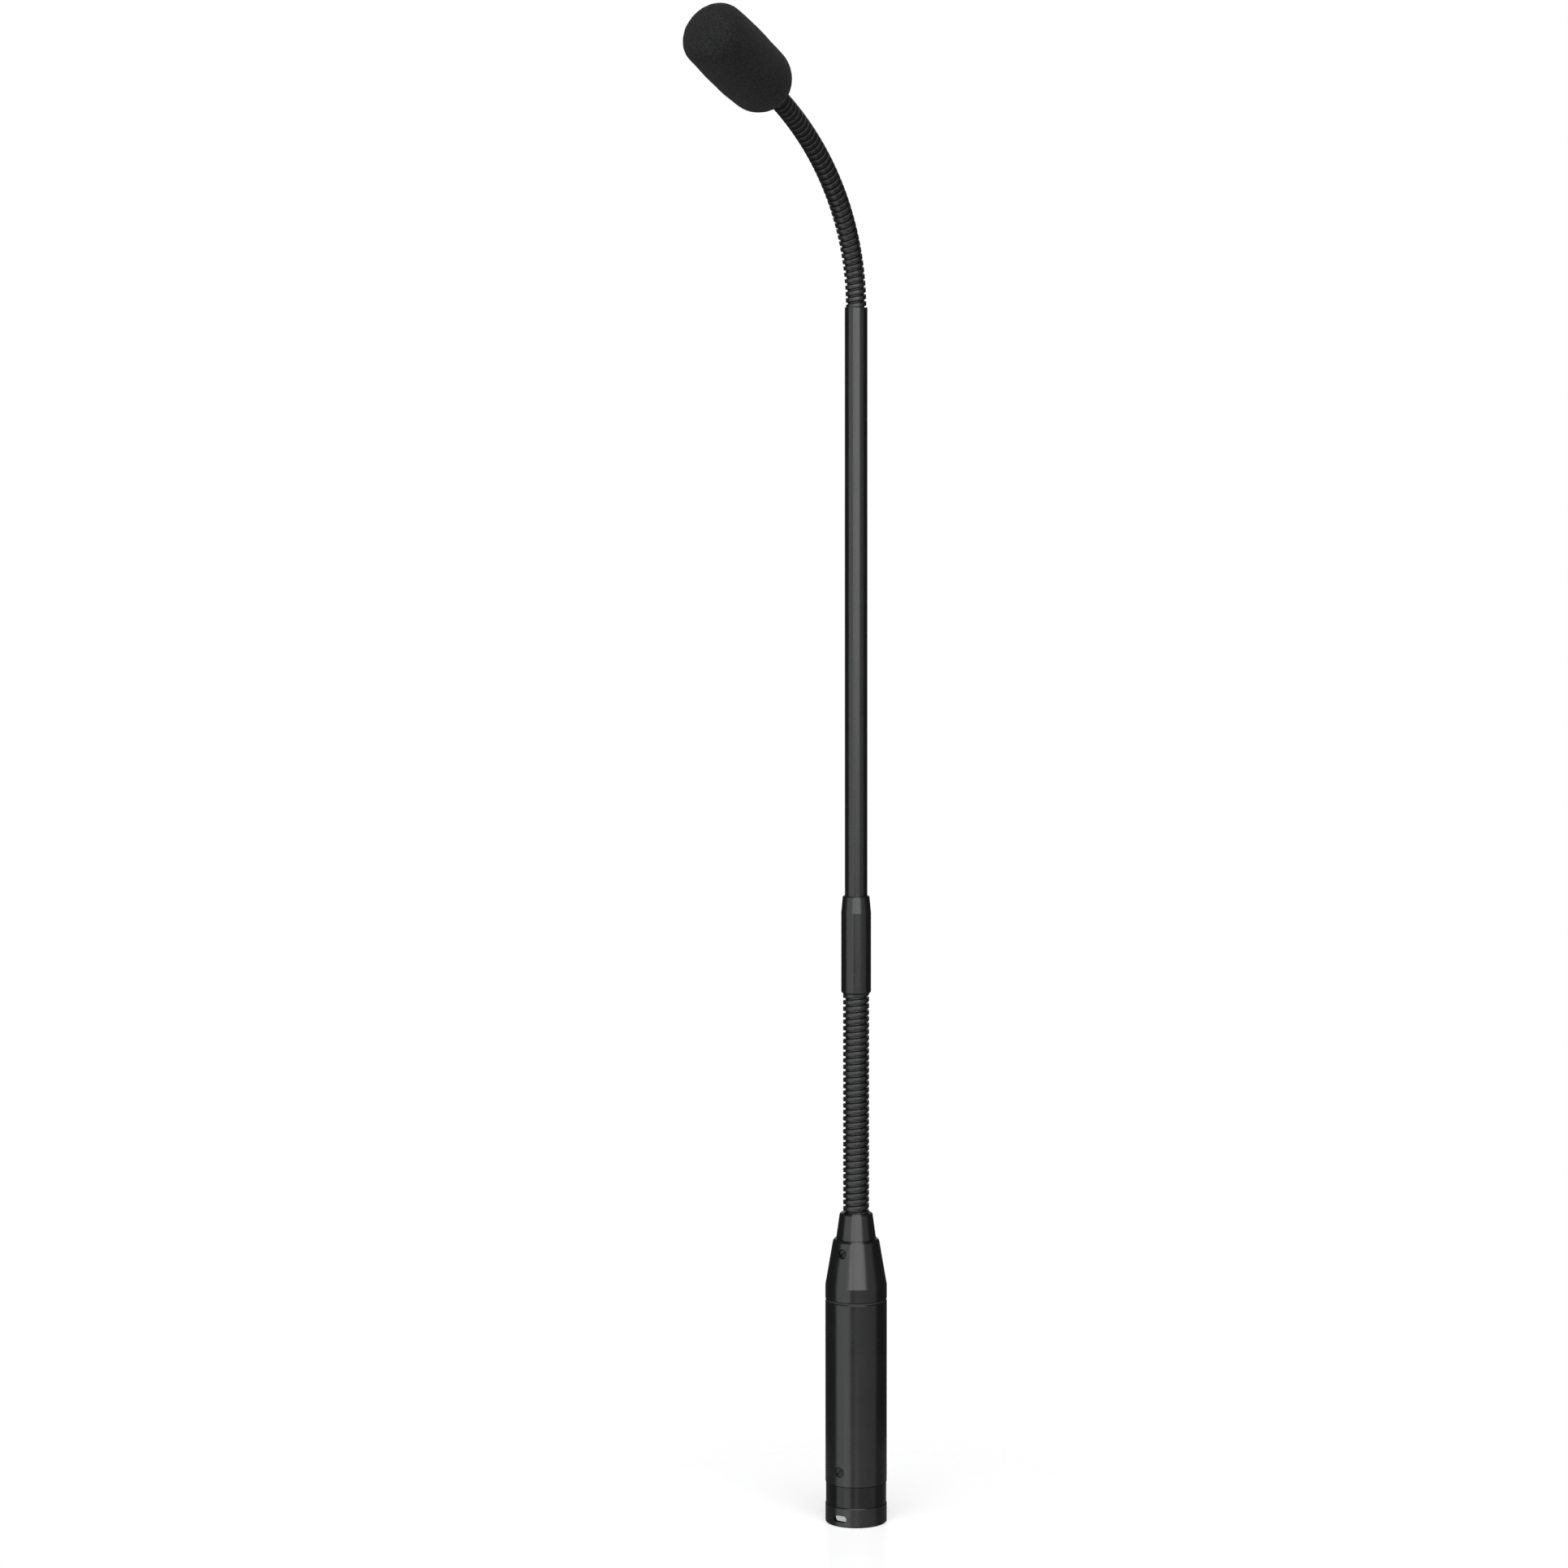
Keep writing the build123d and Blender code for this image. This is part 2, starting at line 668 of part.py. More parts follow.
for n in range(lower_neck_joints - 1):
    link_origin = lower_neck_start + up * (lower_neck_stub + n * link_length)
    lower_link = neck_link(link_origin, up, *lower_neck_size)
    lower_link.part.label = f"lower_neck_link_{n + 1:02d}"
    export_step(lower_link.part, f"parts/lower_neck_link_{n + 1:02d}.step")

sleeve_origin = up * sleeve_z
lower_neck_top = neck_top(sleeve_origin, up, lower_neck_stub, *lower_neck_size, shank=ferrule_length)
lower_neck_top.part.label = "lower_neck_top"
export_step(lower_neck_top.part, "parts/lower_neck_top.step")

# ---------------------------------------------------------------- coupling sleeve and stem tube
sleeve_r = sleeve_d / 2
sleeve_shelf_z = sleeve_z + ferrule_length + slip
stem_foot_z = stem_z - stem_in_sleeve
with BuildPart() as coupling_sleeve:
    with BuildSketch(side_plane(base, up)):
        with BuildLine():
            Polyline(
                (lower_ferrule_r + slip, sleeve_z),
                (sleeve_r - sleeve_chamfer, sleeve_z),
                (sleeve_r, sleeve_z + sleeve_chamfer),
                (sleeve_r, stem_z - sleeve_taper_h),
                (sleeve_top_d / 2, stem_z - edge_round),
                (sleeve_top_d / 2 - edge_round, stem_z),
                (stem_d / 2 + slip, stem_z),
                (stem_d / 2 + slip, stem_foot_z - slip),
                (cable_hole_r, stem_foot_z - slip),
                (cable_hole_r, sleeve_shelf_z),
                (lower_ferrule_r + slip, sleeve_shelf_z),
                close=True,
            )
        make_face()
    revolve(axis=Axis.Z)
coupling_sleeve.part.label = "coupling_sleeve"
export_step(coupling_sleeve.part, "parts/coupling_sleeve.step")

stem_tube = ring(base, up, stem_d, stem_bore_d, stem_foot_z, upper_neck_z)
stem_tube.part.label = "stem_tube"
export_step(stem_tube.part, "parts/stem_tube.step")

# Bushes hold the cable in the middle of the tube, at its foot and under the upper neck
bush_d = stem_bore_d - 2 * slip
upper_bush_z = upper_neck_z - ferrule_length - slip - bush_length
with BuildPart() as stem_bushes:
    for bush_z in (stem_foot_z + 1.0, upper_bush_z):
        with BuildSketch(Plane.XY.offset(bush_z)):
            Circle(bush_d / 2)
            Circle(cable_d / 2 + slip, mode=Mode.SUBTRACT)
        extrude(amount=bush_length)
stem_bushes.part.label = "stem_bushes"
export_step(stem_bushes.part, "parts/stem_bushes.step")

stem_cable_z = sleeve_z - lower_neck_stub + cable_start
upper_first_joint_z = upper_neck_z + upper_neck_low_stub
with BuildPart() as stem_cable:
    with BuildSketch(Plane.XY.offset(stem_cable_z)):
        Circle(cable_d / 2)
    extrude(amount=upper_first_joint_z + liner_reach - stem_cable_z)
stem_cable.part.label = "stem_cable"
export_step(stem_cable.part, "parts/stem_cable.step")

# ---------------------------------------------------------------- upper gooseneck
upper_neck_start = up * upper_neck_z
upper_shank_r = stem_bore_d / 2 - slip
upper_neck_foot = neck_foot(
    upper_neck_start, up, upper_neck_low_stub, *upper_neck_size, shank_r=upper_shank_r
)
upper_neck_foot.part.label = "upper_neck_foot"
export_step(upper_neck_foot.part, "parts/upper_neck_foot.step")


def lean_at(distance):
    """Lean of the stored neck, in degrees, at a distance along it."""
    share = min(max(distance / upper_neck_length, 0), 1)
    return upper_neck_bend * (share + upper_neck_bend_bias * (share - share * share))


# Every other hinge bends forward and holds the lean of the stretch around it
joint_point = upper_neck_start
joint_lean = 0.0
for n in range(upper_neck_joints):
    step = link_length if n else upper_neck_low_stub
    joint_point = joint_point + lean(joint_lean) * step
    along = upper_neck_low_stub + n * link_length
    if n % 2 == 0:
        last_bend = n >= upper_neck_joints - 2
        joint_lean = upper_neck_bend if last_bend else lean_at(along + link_length)
    if n < upper_neck_joints - 1:
        upper_link = neck_link(joint_point, lean(joint_lean), *upper_neck_size)
        upper_link.part.label = f"upper_neck_link_{n + 1:02d}"
        export_step(upper_link.part, f"parts/upper_neck_link_{n + 1:02d}.step")

head_way = lean(joint_lean)
head_origin = joint_point + head_way * upper_neck_high_stub

# ---------------------------------------------------------------- microphone head
upper_neck_top = neck_top(
    head_origin, head_way, upper_neck_high_stub, *upper_neck_size, shank=head_collar_length
)
with BuildPart(mode=Mode.PRIVATE) as head_cable:
    with BuildSketch(across_plane(head_origin, head_way, cable_start - upper_neck_high_stub)):
        Circle(cable_d / 2)
    extrude(amount=upper_neck_high_stub + head_collar_length + 1.0 - cable_start)
with upper_neck_top:
    add(head_cable.part)
upper_neck_top.part.label = "upper_neck_top"
export_step(upper_neck_top.part, "parts/upper_neck_top.step")

head_r = head_d / 2
head_bore_r = head_r - head_wall
head_spigot_r = head_bore_r - slip
upper_ferrule_r = upper_neck_root_d / 2
head_housing_h = head_collar_length + slip  # the housing's back edge, from the neck's end
with BuildPart() as head_collar:
    with BuildSketch(side_plane(head_origin, head_way)):
        with BuildLine():
            Polyline(
                (upper_ferrule_r + slip, 0),
                (head_r - head_edge_in, 0),
                (head_r, head_edge_up),
                (head_r, head_collar_length),
                (head_spigot_r, head_collar_length),
                (head_spigot_r, head_collar_length + head_spigot_length),
                (cable_hole_r, head_collar_length + head_spigot_length),
                (cable_hole_r, head_collar_length + slip),
                (upper_ferrule_r + slip, head_collar_length + slip),
                close=True,
            )
        make_face()
    revolve(axis=Axis(head_origin, head_way))
head_collar.part.label = "head_collar"
export_step(head_collar.part, "parts/head_collar.step")

head_housing_top = head_housing_h + head_housing_length
slot_middle = head_housing_h + slot_start + slot_length / 2
with BuildPart() as capsule_housing:
    with BuildSketch(across_plane(head_origin, head_way, head_housing_h)):
        Circle(head_r)
        Circle(head_bore_r, mode=Mode.SUBTRACT)
    extrude(amount=head_housing_length)
    for n in range(slot_count // 2):
        slot_turn = n * 360 / slot_count
        slot_side = side_plane(head_origin, head_way).z_dir.rotate(Axis((0, 0, 0), head_way), slot_turn)
        with BuildSketch(Plane(origin=head_origin, x_dir=head_way, z_dir=slot_side)):
            with Locations((slot_middle, 0)):
                SlotOverall(slot_length, slot_w)
        extrude(amount=head_d, both=True, mode=Mode.SUBTRACT)
capsule_housing.part.label = "capsule_housing"
export_step(capsule_housing.part, "parts/capsule_housing.step")

# Perforated cap: one middle hole and two rings of holes
cap_skirt_length = 1.6
grille_inside = head_housing_top + grille_cap_h - grille_cap_wall
with BuildPart() as front_grille:
    with BuildSketch(side_plane(head_origin, head_way)):
        with BuildLine():
            Polyline(
                (0, head_housing_top + grille_cap_h),
                (0, grille_inside),
                (head_spigot_r - grille_cap_wall, grille_inside),
                (head_spigot_r - grille_cap_wall, head_housing_top - cap_skirt_length),
                (head_spigot_r, head_housing_top - cap_skirt_length),
                (head_spigot_r, head_housing_top + slip),
                (head_r, head_housing_top + slip),
                (head_r, head_housing_top + grille_cap_h - grille_edge),
                (head_r - grille_edge, head_housing_top + grille_cap_h),
                close=True,
            )
        make_face()
    revolve(axis=Axis(head_origin, head_way))
    with BuildSketch(across_plane(head_origin, head_way, grille_inside - grille_hole_extra)):
        Circle(grille_hole_d / 2)
        with PolarLocations(head_r * grille_inner_ring, grille_inner_holes):
            Circle(grille_hole_d / 2)
        with PolarLocations(head_r * grille_outer_ring, 2 * grille_inner_holes):
            Circle(grille_hole_d / 2)
    extrude(amount=grille_cap_wall + 2 * grille_hole_extra, mode=Mode.SUBTRACT)
front_grille.part.label = "front_grille"
export_step(front_grille.part, "parts/front_grille.step")

felt_top = grille_inside - slip
with BuildPart() as grille_felt:
    with BuildSketch(across_plane(head_origin, head_way, felt_top - felt_thickness)):
        Circle(head_spigot_r - grille_cap_wall - slip)
    extrude(amount=felt_thickness)
grille_felt.part.label = "grille_felt"
export_step(grille_felt.part, "parts/grille_felt.step")

capsule_top = head_housing_top - cap_skirt_length - 0.4
capsule_low = capsule_top - capsule_length
with BuildPart() as capsule:
    with BuildSketch(across_plane(head_origin, head_way, capsule_low)):
        Circle(capsule_d / 2)
    extrude(amount=capsule_length)
    fillet(capsule.edges().filter_by(GeomType.CIRCLE), radius=capsule_edge)
    with BuildSketch(across_plane(head_origin, head_way, capsule_top - capsule_step)):
        Circle(capsule_d / 6)
    extrude(amount=1, mode=Mode.SUBTRACT)
capsule.part.label = "condenser_capsule"
export_step(capsule.part, "parts/condenser_capsule.step")

gasket_inner_d = capsule_d + 2 * slip
gasket_outer_d = 2 * (head_bore_r - slip)
capsule_gasket = ring(
    head_origin, head_way, gasket_outer_d, gasket_inner_d, capsule_top - capsule_gasket_down, capsule_top - capsule_step
)
capsule_gasket.part.label = "capsule_gasket"
export_step(capsule_gasket.part, "parts/capsule_gasket.step")

board_high = capsule_low - 0.2
board_low = board_high - capsule_board_thickness
with BuildPart() as capsule_board:
    with BuildSketch(across_plane(head_origin, head_way, board_low)):
        Circle(capsule_d / 2)
    extrude(amount=capsule_board_thickness)
capsule_board.part.label = "capsule_board"
export_step(capsule_board.part, "parts/capsule_board.step")

leads_low = head_collar_length + 1.0 + slip
with BuildPart() as capsule_leads:
    with BuildSketch(across_plane(head_origin, head_way, leads_low)):
        with Locations((-core_offset, 0), (core_offset, 0)):
            Circle(lead_d / 2)
    extrude(amount=board_low - slip - leads_low)
capsule_leads.part.label = "capsule_leads"
export_step(capsule_leads.part, "parts/capsule_leads.step")

# ---------------------------------------------------------------- foam windscreen
foam_origin = head_origin - head_way * foam_over_neck
foam_r = foam_d / 2
foam_bore_r = head_r + loose
foam_bore_end = foam_over_neck + head_housing_top + grille_cap_h + loose
foam_length = foam_bore_end + foam_nose
foam_front_edge = foam_length - foam_dome
mouth_turn = acos(foam_bore_r / foam_r)  # where the rounded back meets the bore
face_r = foam_r - foam_front_radius
dome_r = (face_r**2 + foam_dome**2) / (2 * foam_dome)
dome_turn = degrees(acos(face_r / dome_r))
side_end_h = foam_front_edge - foam_front_radius


def back_point(turn):
    """Point of the foam's rounded back end, which is half an ellipse, at a turn from its widest circle."""
    return (foam_r * cos(turn), foam_back_length * (1 - sin(turn)))


with BuildPart() as foam_windscreen:
    with BuildSketch(side_plane(foam_origin, head_way)):
        with BuildLine():
            Spline(
                *[back_point(share * mouth_turn) for share in (1, 0.6, 0.3, 0)],
                tangents=((foam_r * sin(mouth_turn), foam_back_length * cos(mouth_turn)), (0, 1)),
            )
            side_middle = (foam_r + foam_crown, (foam_back_length + side_end_h) / 2)
            ThreePointArc((foam_r, foam_back_length), side_middle, (foam_r, side_end_h))
            CenterArc((face_r, side_end_h), foam_front_radius, 0, 90)
            CenterArc((0, foam_length - dome_r), dome_r, dome_turn, 90 - dome_turn)
            bore_end_points = [(0, foam_length), (0, foam_bore_end), (foam_bore_r, foam_bore_end)]
            Polyline(*bore_end_points, back_point(mouth_turn))
        make_face()
    revolve(axis=Axis(foam_origin, head_way))
foam_windscreen.part.label = "foam_windscreen"
export_step(foam_windscreen.part, "parts/foam_windscreen.step")
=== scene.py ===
import json
from collections import namedtuple
from math import acos, cos, pi, radians, sin

import bmesh
import bpy
from bpy.props import FloatProperty, FloatVectorProperty, IntProperty, PointerProperty
from mathutils import Matrix, Vector, noise

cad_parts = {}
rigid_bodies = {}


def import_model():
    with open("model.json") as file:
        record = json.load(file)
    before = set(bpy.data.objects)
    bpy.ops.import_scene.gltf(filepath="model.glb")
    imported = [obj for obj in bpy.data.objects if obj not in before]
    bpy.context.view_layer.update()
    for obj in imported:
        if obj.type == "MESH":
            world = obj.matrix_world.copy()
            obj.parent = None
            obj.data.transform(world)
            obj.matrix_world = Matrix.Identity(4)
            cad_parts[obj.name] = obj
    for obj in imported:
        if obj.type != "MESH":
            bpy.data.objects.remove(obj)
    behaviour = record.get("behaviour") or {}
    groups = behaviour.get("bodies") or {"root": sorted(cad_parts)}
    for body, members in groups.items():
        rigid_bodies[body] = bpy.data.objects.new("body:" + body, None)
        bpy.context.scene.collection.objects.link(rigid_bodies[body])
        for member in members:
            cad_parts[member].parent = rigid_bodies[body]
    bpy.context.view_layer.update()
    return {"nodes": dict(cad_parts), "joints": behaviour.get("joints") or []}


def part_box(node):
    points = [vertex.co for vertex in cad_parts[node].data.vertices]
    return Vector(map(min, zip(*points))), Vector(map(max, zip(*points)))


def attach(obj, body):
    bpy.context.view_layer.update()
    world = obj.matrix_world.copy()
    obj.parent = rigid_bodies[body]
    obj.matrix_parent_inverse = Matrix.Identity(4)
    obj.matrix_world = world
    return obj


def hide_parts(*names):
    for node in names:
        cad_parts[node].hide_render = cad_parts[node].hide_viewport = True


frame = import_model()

bl_info = {
    "name": "Podium Microphone",
    "version": (1, 0, 0),
    "blender": (4, 5, 0),
    "location": "View3D > Sidebar > Podium Mic",
    "description": "Builds the visible pieces of a gooseneck podium microphone round its packed frame",
    "category": "Object",
}

MM = 0.001
UP = Vector((0, 0, 1))
ACROSS = Vector((1, 0, 0))
JOINTS = {joint["name"]: joint for joint in frame["joints"]}
HEAD_WAY = Vector(JOINTS["windscreen_pull_off"]["axis"])

# Length of the upper neck between its last hinge and the head.
HEAD_STUB = 4.0 * MM
# Radii over a neck's rib wire and over its core wire, and the core wire's diameter.
NeckWire = namedtuple("NeckWire", "outer_radius root_radius core_wire")
LOWER_WIRE = NeckWire(4.0 * MM, 3.3 * MM, 1.2 * MM)
UPPER_WIRE = NeckWire(3.1 * MM, 2.55 * MM, 0.9 * MM)
# Gap between the wires of two links, as a share of a turn, and how far a neck stops short of its ends.
WIRE_SEAM = 0.002
END_CUT = 0.02 * MM
# Turns wound past a neck's ends before they are cut flat.
SPARE_TURNS = 8
# Clearance of the cable's jacket inside the core wire.
JACKET_GAP = 0.05 * MM
# Vertices closer than this become one.
WELD = 0.001 * MM


# ------------------------------------------------------------------ sizes and colours a user may change
class PodiumMicNeck(bpy.types.PropertyGroup):
    """Wires that both goosenecks are wound from."""

    pitch: FloatProperty(
        name="Pitch", description="Rise of the wires in one turn",
        default=2.0 * MM, min=0.5 * MM, unit="LENGTH", precision=5,
    )
    rib_width: FloatProperty(
        name="Rib width", description="Width of the outer wire along the neck",
        default=1.28 * MM, min=0.2 * MM, unit="LENGTH", precision=5,
    )
    rib_round: FloatProperty(
        name="Rib rounding", description="Radius of the outer wire's corners",
        default=0.15 * MM, min=0.0, unit="LENGTH", precision=5,
    )
    rib_depth: FloatProperty(
        name="Rib depth", description="Depth of the outer wire towards the neck's middle",
        default=1.3 * MM, min=0.2 * MM, unit="LENGTH", precision=5,
    )
    cable: FloatProperty(
        name="Cable", description="Diameter of the cable inside the neck",
        default=2.4 * MM, min=0.2 * MM, unit="LENGTH", precision=5,
    )
    facets: IntProperty(
        name="Facets", description="Steps in one turn of a wire", default=48, min=12, max=96,
    )
    bend_bias: FloatProperty(
        name="Bend bias",
        description="How much more the upper neck bends near the tube than near the head",
        default=0.46, min=0.0, max=1.0,
    )


class PodiumMicFoam(bpy.types.PropertyGroup):
    """Shape and surface of the foam windscreen."""

    radius: FloatProperty(
        name="Radius", description="Radius at both ends of its straight part",
        default=10.0 * MM, min=MM, unit="LENGTH", precision=5,
    )
    crown: FloatProperty(
        name="Crown", description="How far its middle stands proud",
        default=0.3 * MM, unit="LENGTH", precision=5,
    )
    length: FloatProperty(
        name="Length", description="Length along the head",
        default=40.0 * MM, unit="LENGTH", precision=5,
    )
    back_length: FloatProperty(
        name="Back length", description="Length of the rounded back end",
        default=11.3 * MM, unit="LENGTH", precision=5,
    )
    front_radius: FloatProperty(
        name="Front radius", description="Rounding between side and face",
        default=4.4 * MM, unit="LENGTH", precision=5,
    )
    dome: FloatProperty(
        name="Dome", description="Rise of the front face",
        default=0.5 * MM, unit="LENGTH", precision=5,
    )
    bore_radius: FloatProperty(
        name="Bore radius", description="Radius of the hole for the head",
        default=4.4 * MM, unit="LENGTH", precision=5,
    )
    bore_depth: FloatProperty(
        name="Bore depth", description="Depth of the hole for the head",
        default=35.55 * MM, unit="LENGTH", precision=5,
    )
    mouth_radius: FloatProperty(
        name="Mouth radius", description="Radius of the lip that closes in on the neck",
        default=3.6 * MM, unit="LENGTH", precision=5,
    )
    over_neck: FloatProperty(
        name="Over neck", description="How far the foam reaches back over the neck",
        default=5.8 * MM, unit="LENGTH", precision=5,
    )
    mesh_size: FloatProperty(
        name="Mesh size", description="Edge length of its surface mesh",
        default=0.27 * MM, min=0.1 * MM, unit="LENGTH", precision=5,
    )
    cell_depth: FloatProperty(
        name="Cell depth", description="Depth of its open cells",
        default=0.1 * MM, unit="LENGTH", precision=5,
    )
    cell_size: FloatProperty(
        name="Cell size", description="Size of its open cells",
        default=0.62 * MM, unit="LENGTH", precision=5,
    )


class PodiumMicColours(bpy.types.PropertyGroup):
    """Colours of the finishes."""

    coat: FloatVectorProperty(
        name="Coat", description="Satin coat of the turned parts", subtype="COLOR", size=3,
        default=(0.0062, 0.0064, 0.0067), min=0.0, max=1.0,
    )
    band: FloatVectorProperty(
        name="Band", description="Glossy band", subtype="COLOR", size=3,
        default=(0.0035, 0.0035, 0.0038), min=0.0, max=1.0,
    )
    neck: FloatVectorProperty(
        name="Neck", description="Blackened wire of the goosenecks", subtype="COLOR", size=3,
        default=(0.011, 0.0113, 0.0115), min=0.0, max=1.0,
    )
    foam: FloatVectorProperty(
        name="Foam", description="Foam windscreen", subtype="COLOR", size=3,
        default=(0.0072, 0.0073, 0.0074), min=0.0, max=1.0,
    )
    floor: FloatVectorProperty(
        name="Floor", description="Pale floor", subtype="COLOR", size=3,
        default=(0.93, 0.93, 0.94), min=0.0, max=1.0,
    )


class PodiumMicStage(bpy.types.PropertyGroup):
    """Camera and lamps."""

    lens: FloatProperty(
        name="Lens", description="Focal length of the camera in millimetres",
        default=100.0, min=20.0,
    )
    distance: FloatProperty(
        name="Distance", description="Camera's level distance from the microphone's axis",
        default=1323.4 * MM, min=0.1, unit="LENGTH", precision=5,
    )
    aside: FloatProperty(
        name="Aside", description="Camera's shift to its left of the microphone's axis",
        default=22.0 * MM, unit="LENGTH", precision=5,
    )
    height: FloatProperty(
        name="Height", description="Camera's height over the floor",
        default=350.9 * MM, unit="LENGTH", precision=5,
    )
    tilt: FloatProperty(
        name="Tilt", description="How far the camera looks down",
        default=radians(5.25), subtype="ANGLE",
    )
    roll: FloatProperty(
        name="Roll", description="Camera's turn about its own line of sight",
        default=radians(-0.087), subtype="ANGLE",
    )
    turn: FloatProperty(
        name="Turn", description="Camera's turn about the microphone from straight in front",
        default=radians(34.0), subtype="ANGLE",
    )
    lamp_power: FloatProperty(
        name="Lamp power", description="Scale of every lamp's power", default=1.0, min=0.0,
    )


# ------------------------------------------------------------------ finishes
class Finish:
    """A node material with small helpers for its patterns, all on Object coordinates."""

    def __init__(self, name):
        self.material = bpy.data.materials.new(name)
        self.material.use_nodes = True
        self.tree = self.material.node_tree
        self.shader = self.tree.nodes["Principled BSDF"]
        self.place = self.tree.nodes.new("ShaderNodeTexCoord").outputs["Object"]

    def node(self, kind, **settings):
        made = self.tree.nodes.new(kind)
        for key, value in settings.items():
            setattr(made, key, value)
        return made

    def join(self, out, into):
        self.tree.links.new(out, into)

    def fill(self, node, **values):
        """Sets a node's inputs by their names, with _ in place of a space."""
        for key, value in values.items():
            node.inputs[key.replace("_", " ")].default_value = value

    def set(self, **values):
        self.fill(self.shader, **values)

    def stretched(self, scale, turn=(0, 0, 0)):
        mapping = self.node("ShaderNodeMapping")
        self.fill(mapping, Scale=scale, Rotation=turn)
        self.join(self.place, mapping.inputs["Vector"])
        return mapping.outputs["Vector"]

    def noise(self, size, detail=2.0, rough=0.5, place=None):
        made = self.node("ShaderNodeTexNoise")
        self.fill(made, Scale=1 / size, Detail=detail, Roughness=rough)
        self.join(place or self.place, made.inputs["Vector"])
        return made.outputs["Fac"]

    def cells(self, size):
        made = self.node("ShaderNodeTexVoronoi", feature="F1")
        self.fill(made, Scale=1 / size)
        self.join(self.place, made.inputs["Vector"])
        return made.outputs["Distance"]

    def span(self, value, low, high, to_low, to_high):
        made = self.node("ShaderNodeMapRange")
        self.fill(made, From_Min=low, From_Max=high, To_Min=to_low, To_Max=to_high)
        self.join(value, made.inputs["Value"])
        return made.outputs["Result"]

    def blend(self, share, first, second):
        made = self.node("ShaderNodeMix", data_type="RGBA")
        self.join(share, made.inputs["Factor"])
        for socket, value in ((made.inputs["A"], first), (made.inputs["B"], second)):
            socket = self.colour_socket(made, socket.name)
            if isinstance(value, bpy.types.NodeSocket):
                self.join(value, socket)
            else:
                socket.default_value = (*value, 1)
        return [out for out in made.outputs if out.type == "RGBA"][0]

    def colour_socket(self, mix, name):
        return [socket for socket in mix.inputs if socket.name == name and socket.type == "RGBA"][0]

    def math(self, operation, first, second):
        made = self.node("ShaderNodeMath", operation=operation)
        for socket, value in zip(made.inputs, (first, second)):
            if isinstance(value, bpy.types.NodeSocket):
                self.join(value, socket)
            else:
                socket.default_value = value
        return made.outputs["Value"]

    def colour(self, out):
        self.join(out, self.shader.inputs["Base Color"])

    def roughness(self, out):
        self.join(out, self.shader.inputs["Roughness"])

    def relief(self, height, depth, under=None):
        made = self.node("ShaderNodeBump")
        self.fill(made, Strength=1.0, Distance=depth)
        self.join(height, made.inputs["Height"])
        if under:
            self.join(under, made.inputs["Normal"])
        self.join(made.outputs["Normal"], self.shader.inputs["Normal"])
        return made.outputs["Normal"]


def shade(colour, factor):
    """A colour made lighter or darker."""
    return tuple(min(1.0, channel * factor) for channel in colour)


def satin_coat(name, colour, rough, grain=0.22 * MM, depth=0.002 * MM, specular=0.5):
    """Fine satin coat on turned metal: a tight grain and soft patches in its tone and gloss."""
    finish = Finish(name)
    patches = finish.noise(9 * MM, detail=3.0)
    grain_noise = finish.noise(grain, detail=3.0, rough=0.6)
    tone = finish.span(patches, 0.35, 0.65, 0.0, 1.0)
    finish.colour(finish.blend(tone, shade(colour, 0.88), shade(colour, 1.14)))
    specks = finish.span(grain_noise, 0.3, 0.7, -0.035, 0.035)
    soft = finish.span(patches, 0.3, 0.7, rough - 0.02, rough + 0.03)
    finish.roughness(finish.math("ADD", soft, specks))
    finish.relief(grain_noise, depth)
    finish.set(Specular_IOR_Level=specular)
    return finish.material


def grained(name, colour, second, size, rough, depth, metallic=0.0, stretch=None):
    """Finish of a small part: two tones, a grain that may run one way, and its relief."""
    finish = Finish(name)
    place = finish.stretched(stretch) if stretch else None
    grain_noise = finish.noise(size, detail=3.0, rough=0.55, place=place)
    finish.colour(finish.blend(finish.span(grain_noise, 0.3, 0.7, 0.0, 1.0), colour, second))
    finish.roughness(finish.span(grain_noise, 0.3, 0.7, rough[0], rough[1]))
    finish.relief(grain_noise, depth)
    finish.set(Metallic=metallic)
    return finish.material


def foam_finish(name, colour):
    """Open-cell foam: lighter strands, with painted shade darkening the pores between them."""
    finish = Finish(name)
    pores = finish.cells(0.55 * MM)
    fine = finish.noise(0.16 * MM, detail=2.0)
    broad = finish.noise(6 * MM, detail=2.0)
    # Painted shade: the sunk middle of each pore is coloured darker, and the strands round it lighter.
    painted_pore_shade = finish.span(pores, 0.15, 0.6, 0.0, 1.0)
    strands_with_pore_shade = finish.blend(painted_pore_shade, shade(colour, 0.3), shade(colour, 1.9))
    finish.colour(finish.blend(finish.span(broad, 0.3, 0.7, 0.0, 0.35), strands_with_pore_shade, shade(colour, 0.8)))
    finish.roughness(finish.span(fine, 0.2, 0.8, 0.86, 1.0))
    first = finish.relief(pores, 0.09 * MM)
    finish.relief(fine, 0.05 * MM, under=first)
    finish.set(Specular_IOR_Level=0.12, Sheen_Weight=0.05, Sheen_Roughness=0.6)
    return finish.material


def circuit_board(name):
    """Green board with paler copper tracks under its lacquer."""
    finish = Finish(name)
    grid = finish.node("ShaderNodeTexBrick", offset=0.5, squash=1.0)
    finish.fill(grid, Scale=1 / (2.6 * MM), Mortar_Size=0.07)
    finish.join(finish.stretched((1, 1, 1), (radians(90), 0, 0)), grid.inputs["Vector"])
    weave = finish.noise(0.3 * MM, detail=2.0)
    board_tone = finish.blend(weave, (0.010, 0.055, 0.028), (0.014, 0.075, 0.036))
    finish.colour(finish.blend(grid.outputs["Fac"], board_tone, (0.06, 0.16, 0.06)))
    finish.roughness(finish.span(weave, 0.2, 0.8, 0.28, 0.42))
    finish.relief(grid.outputs["Fac"], 0.02 * MM)
    return finish.material


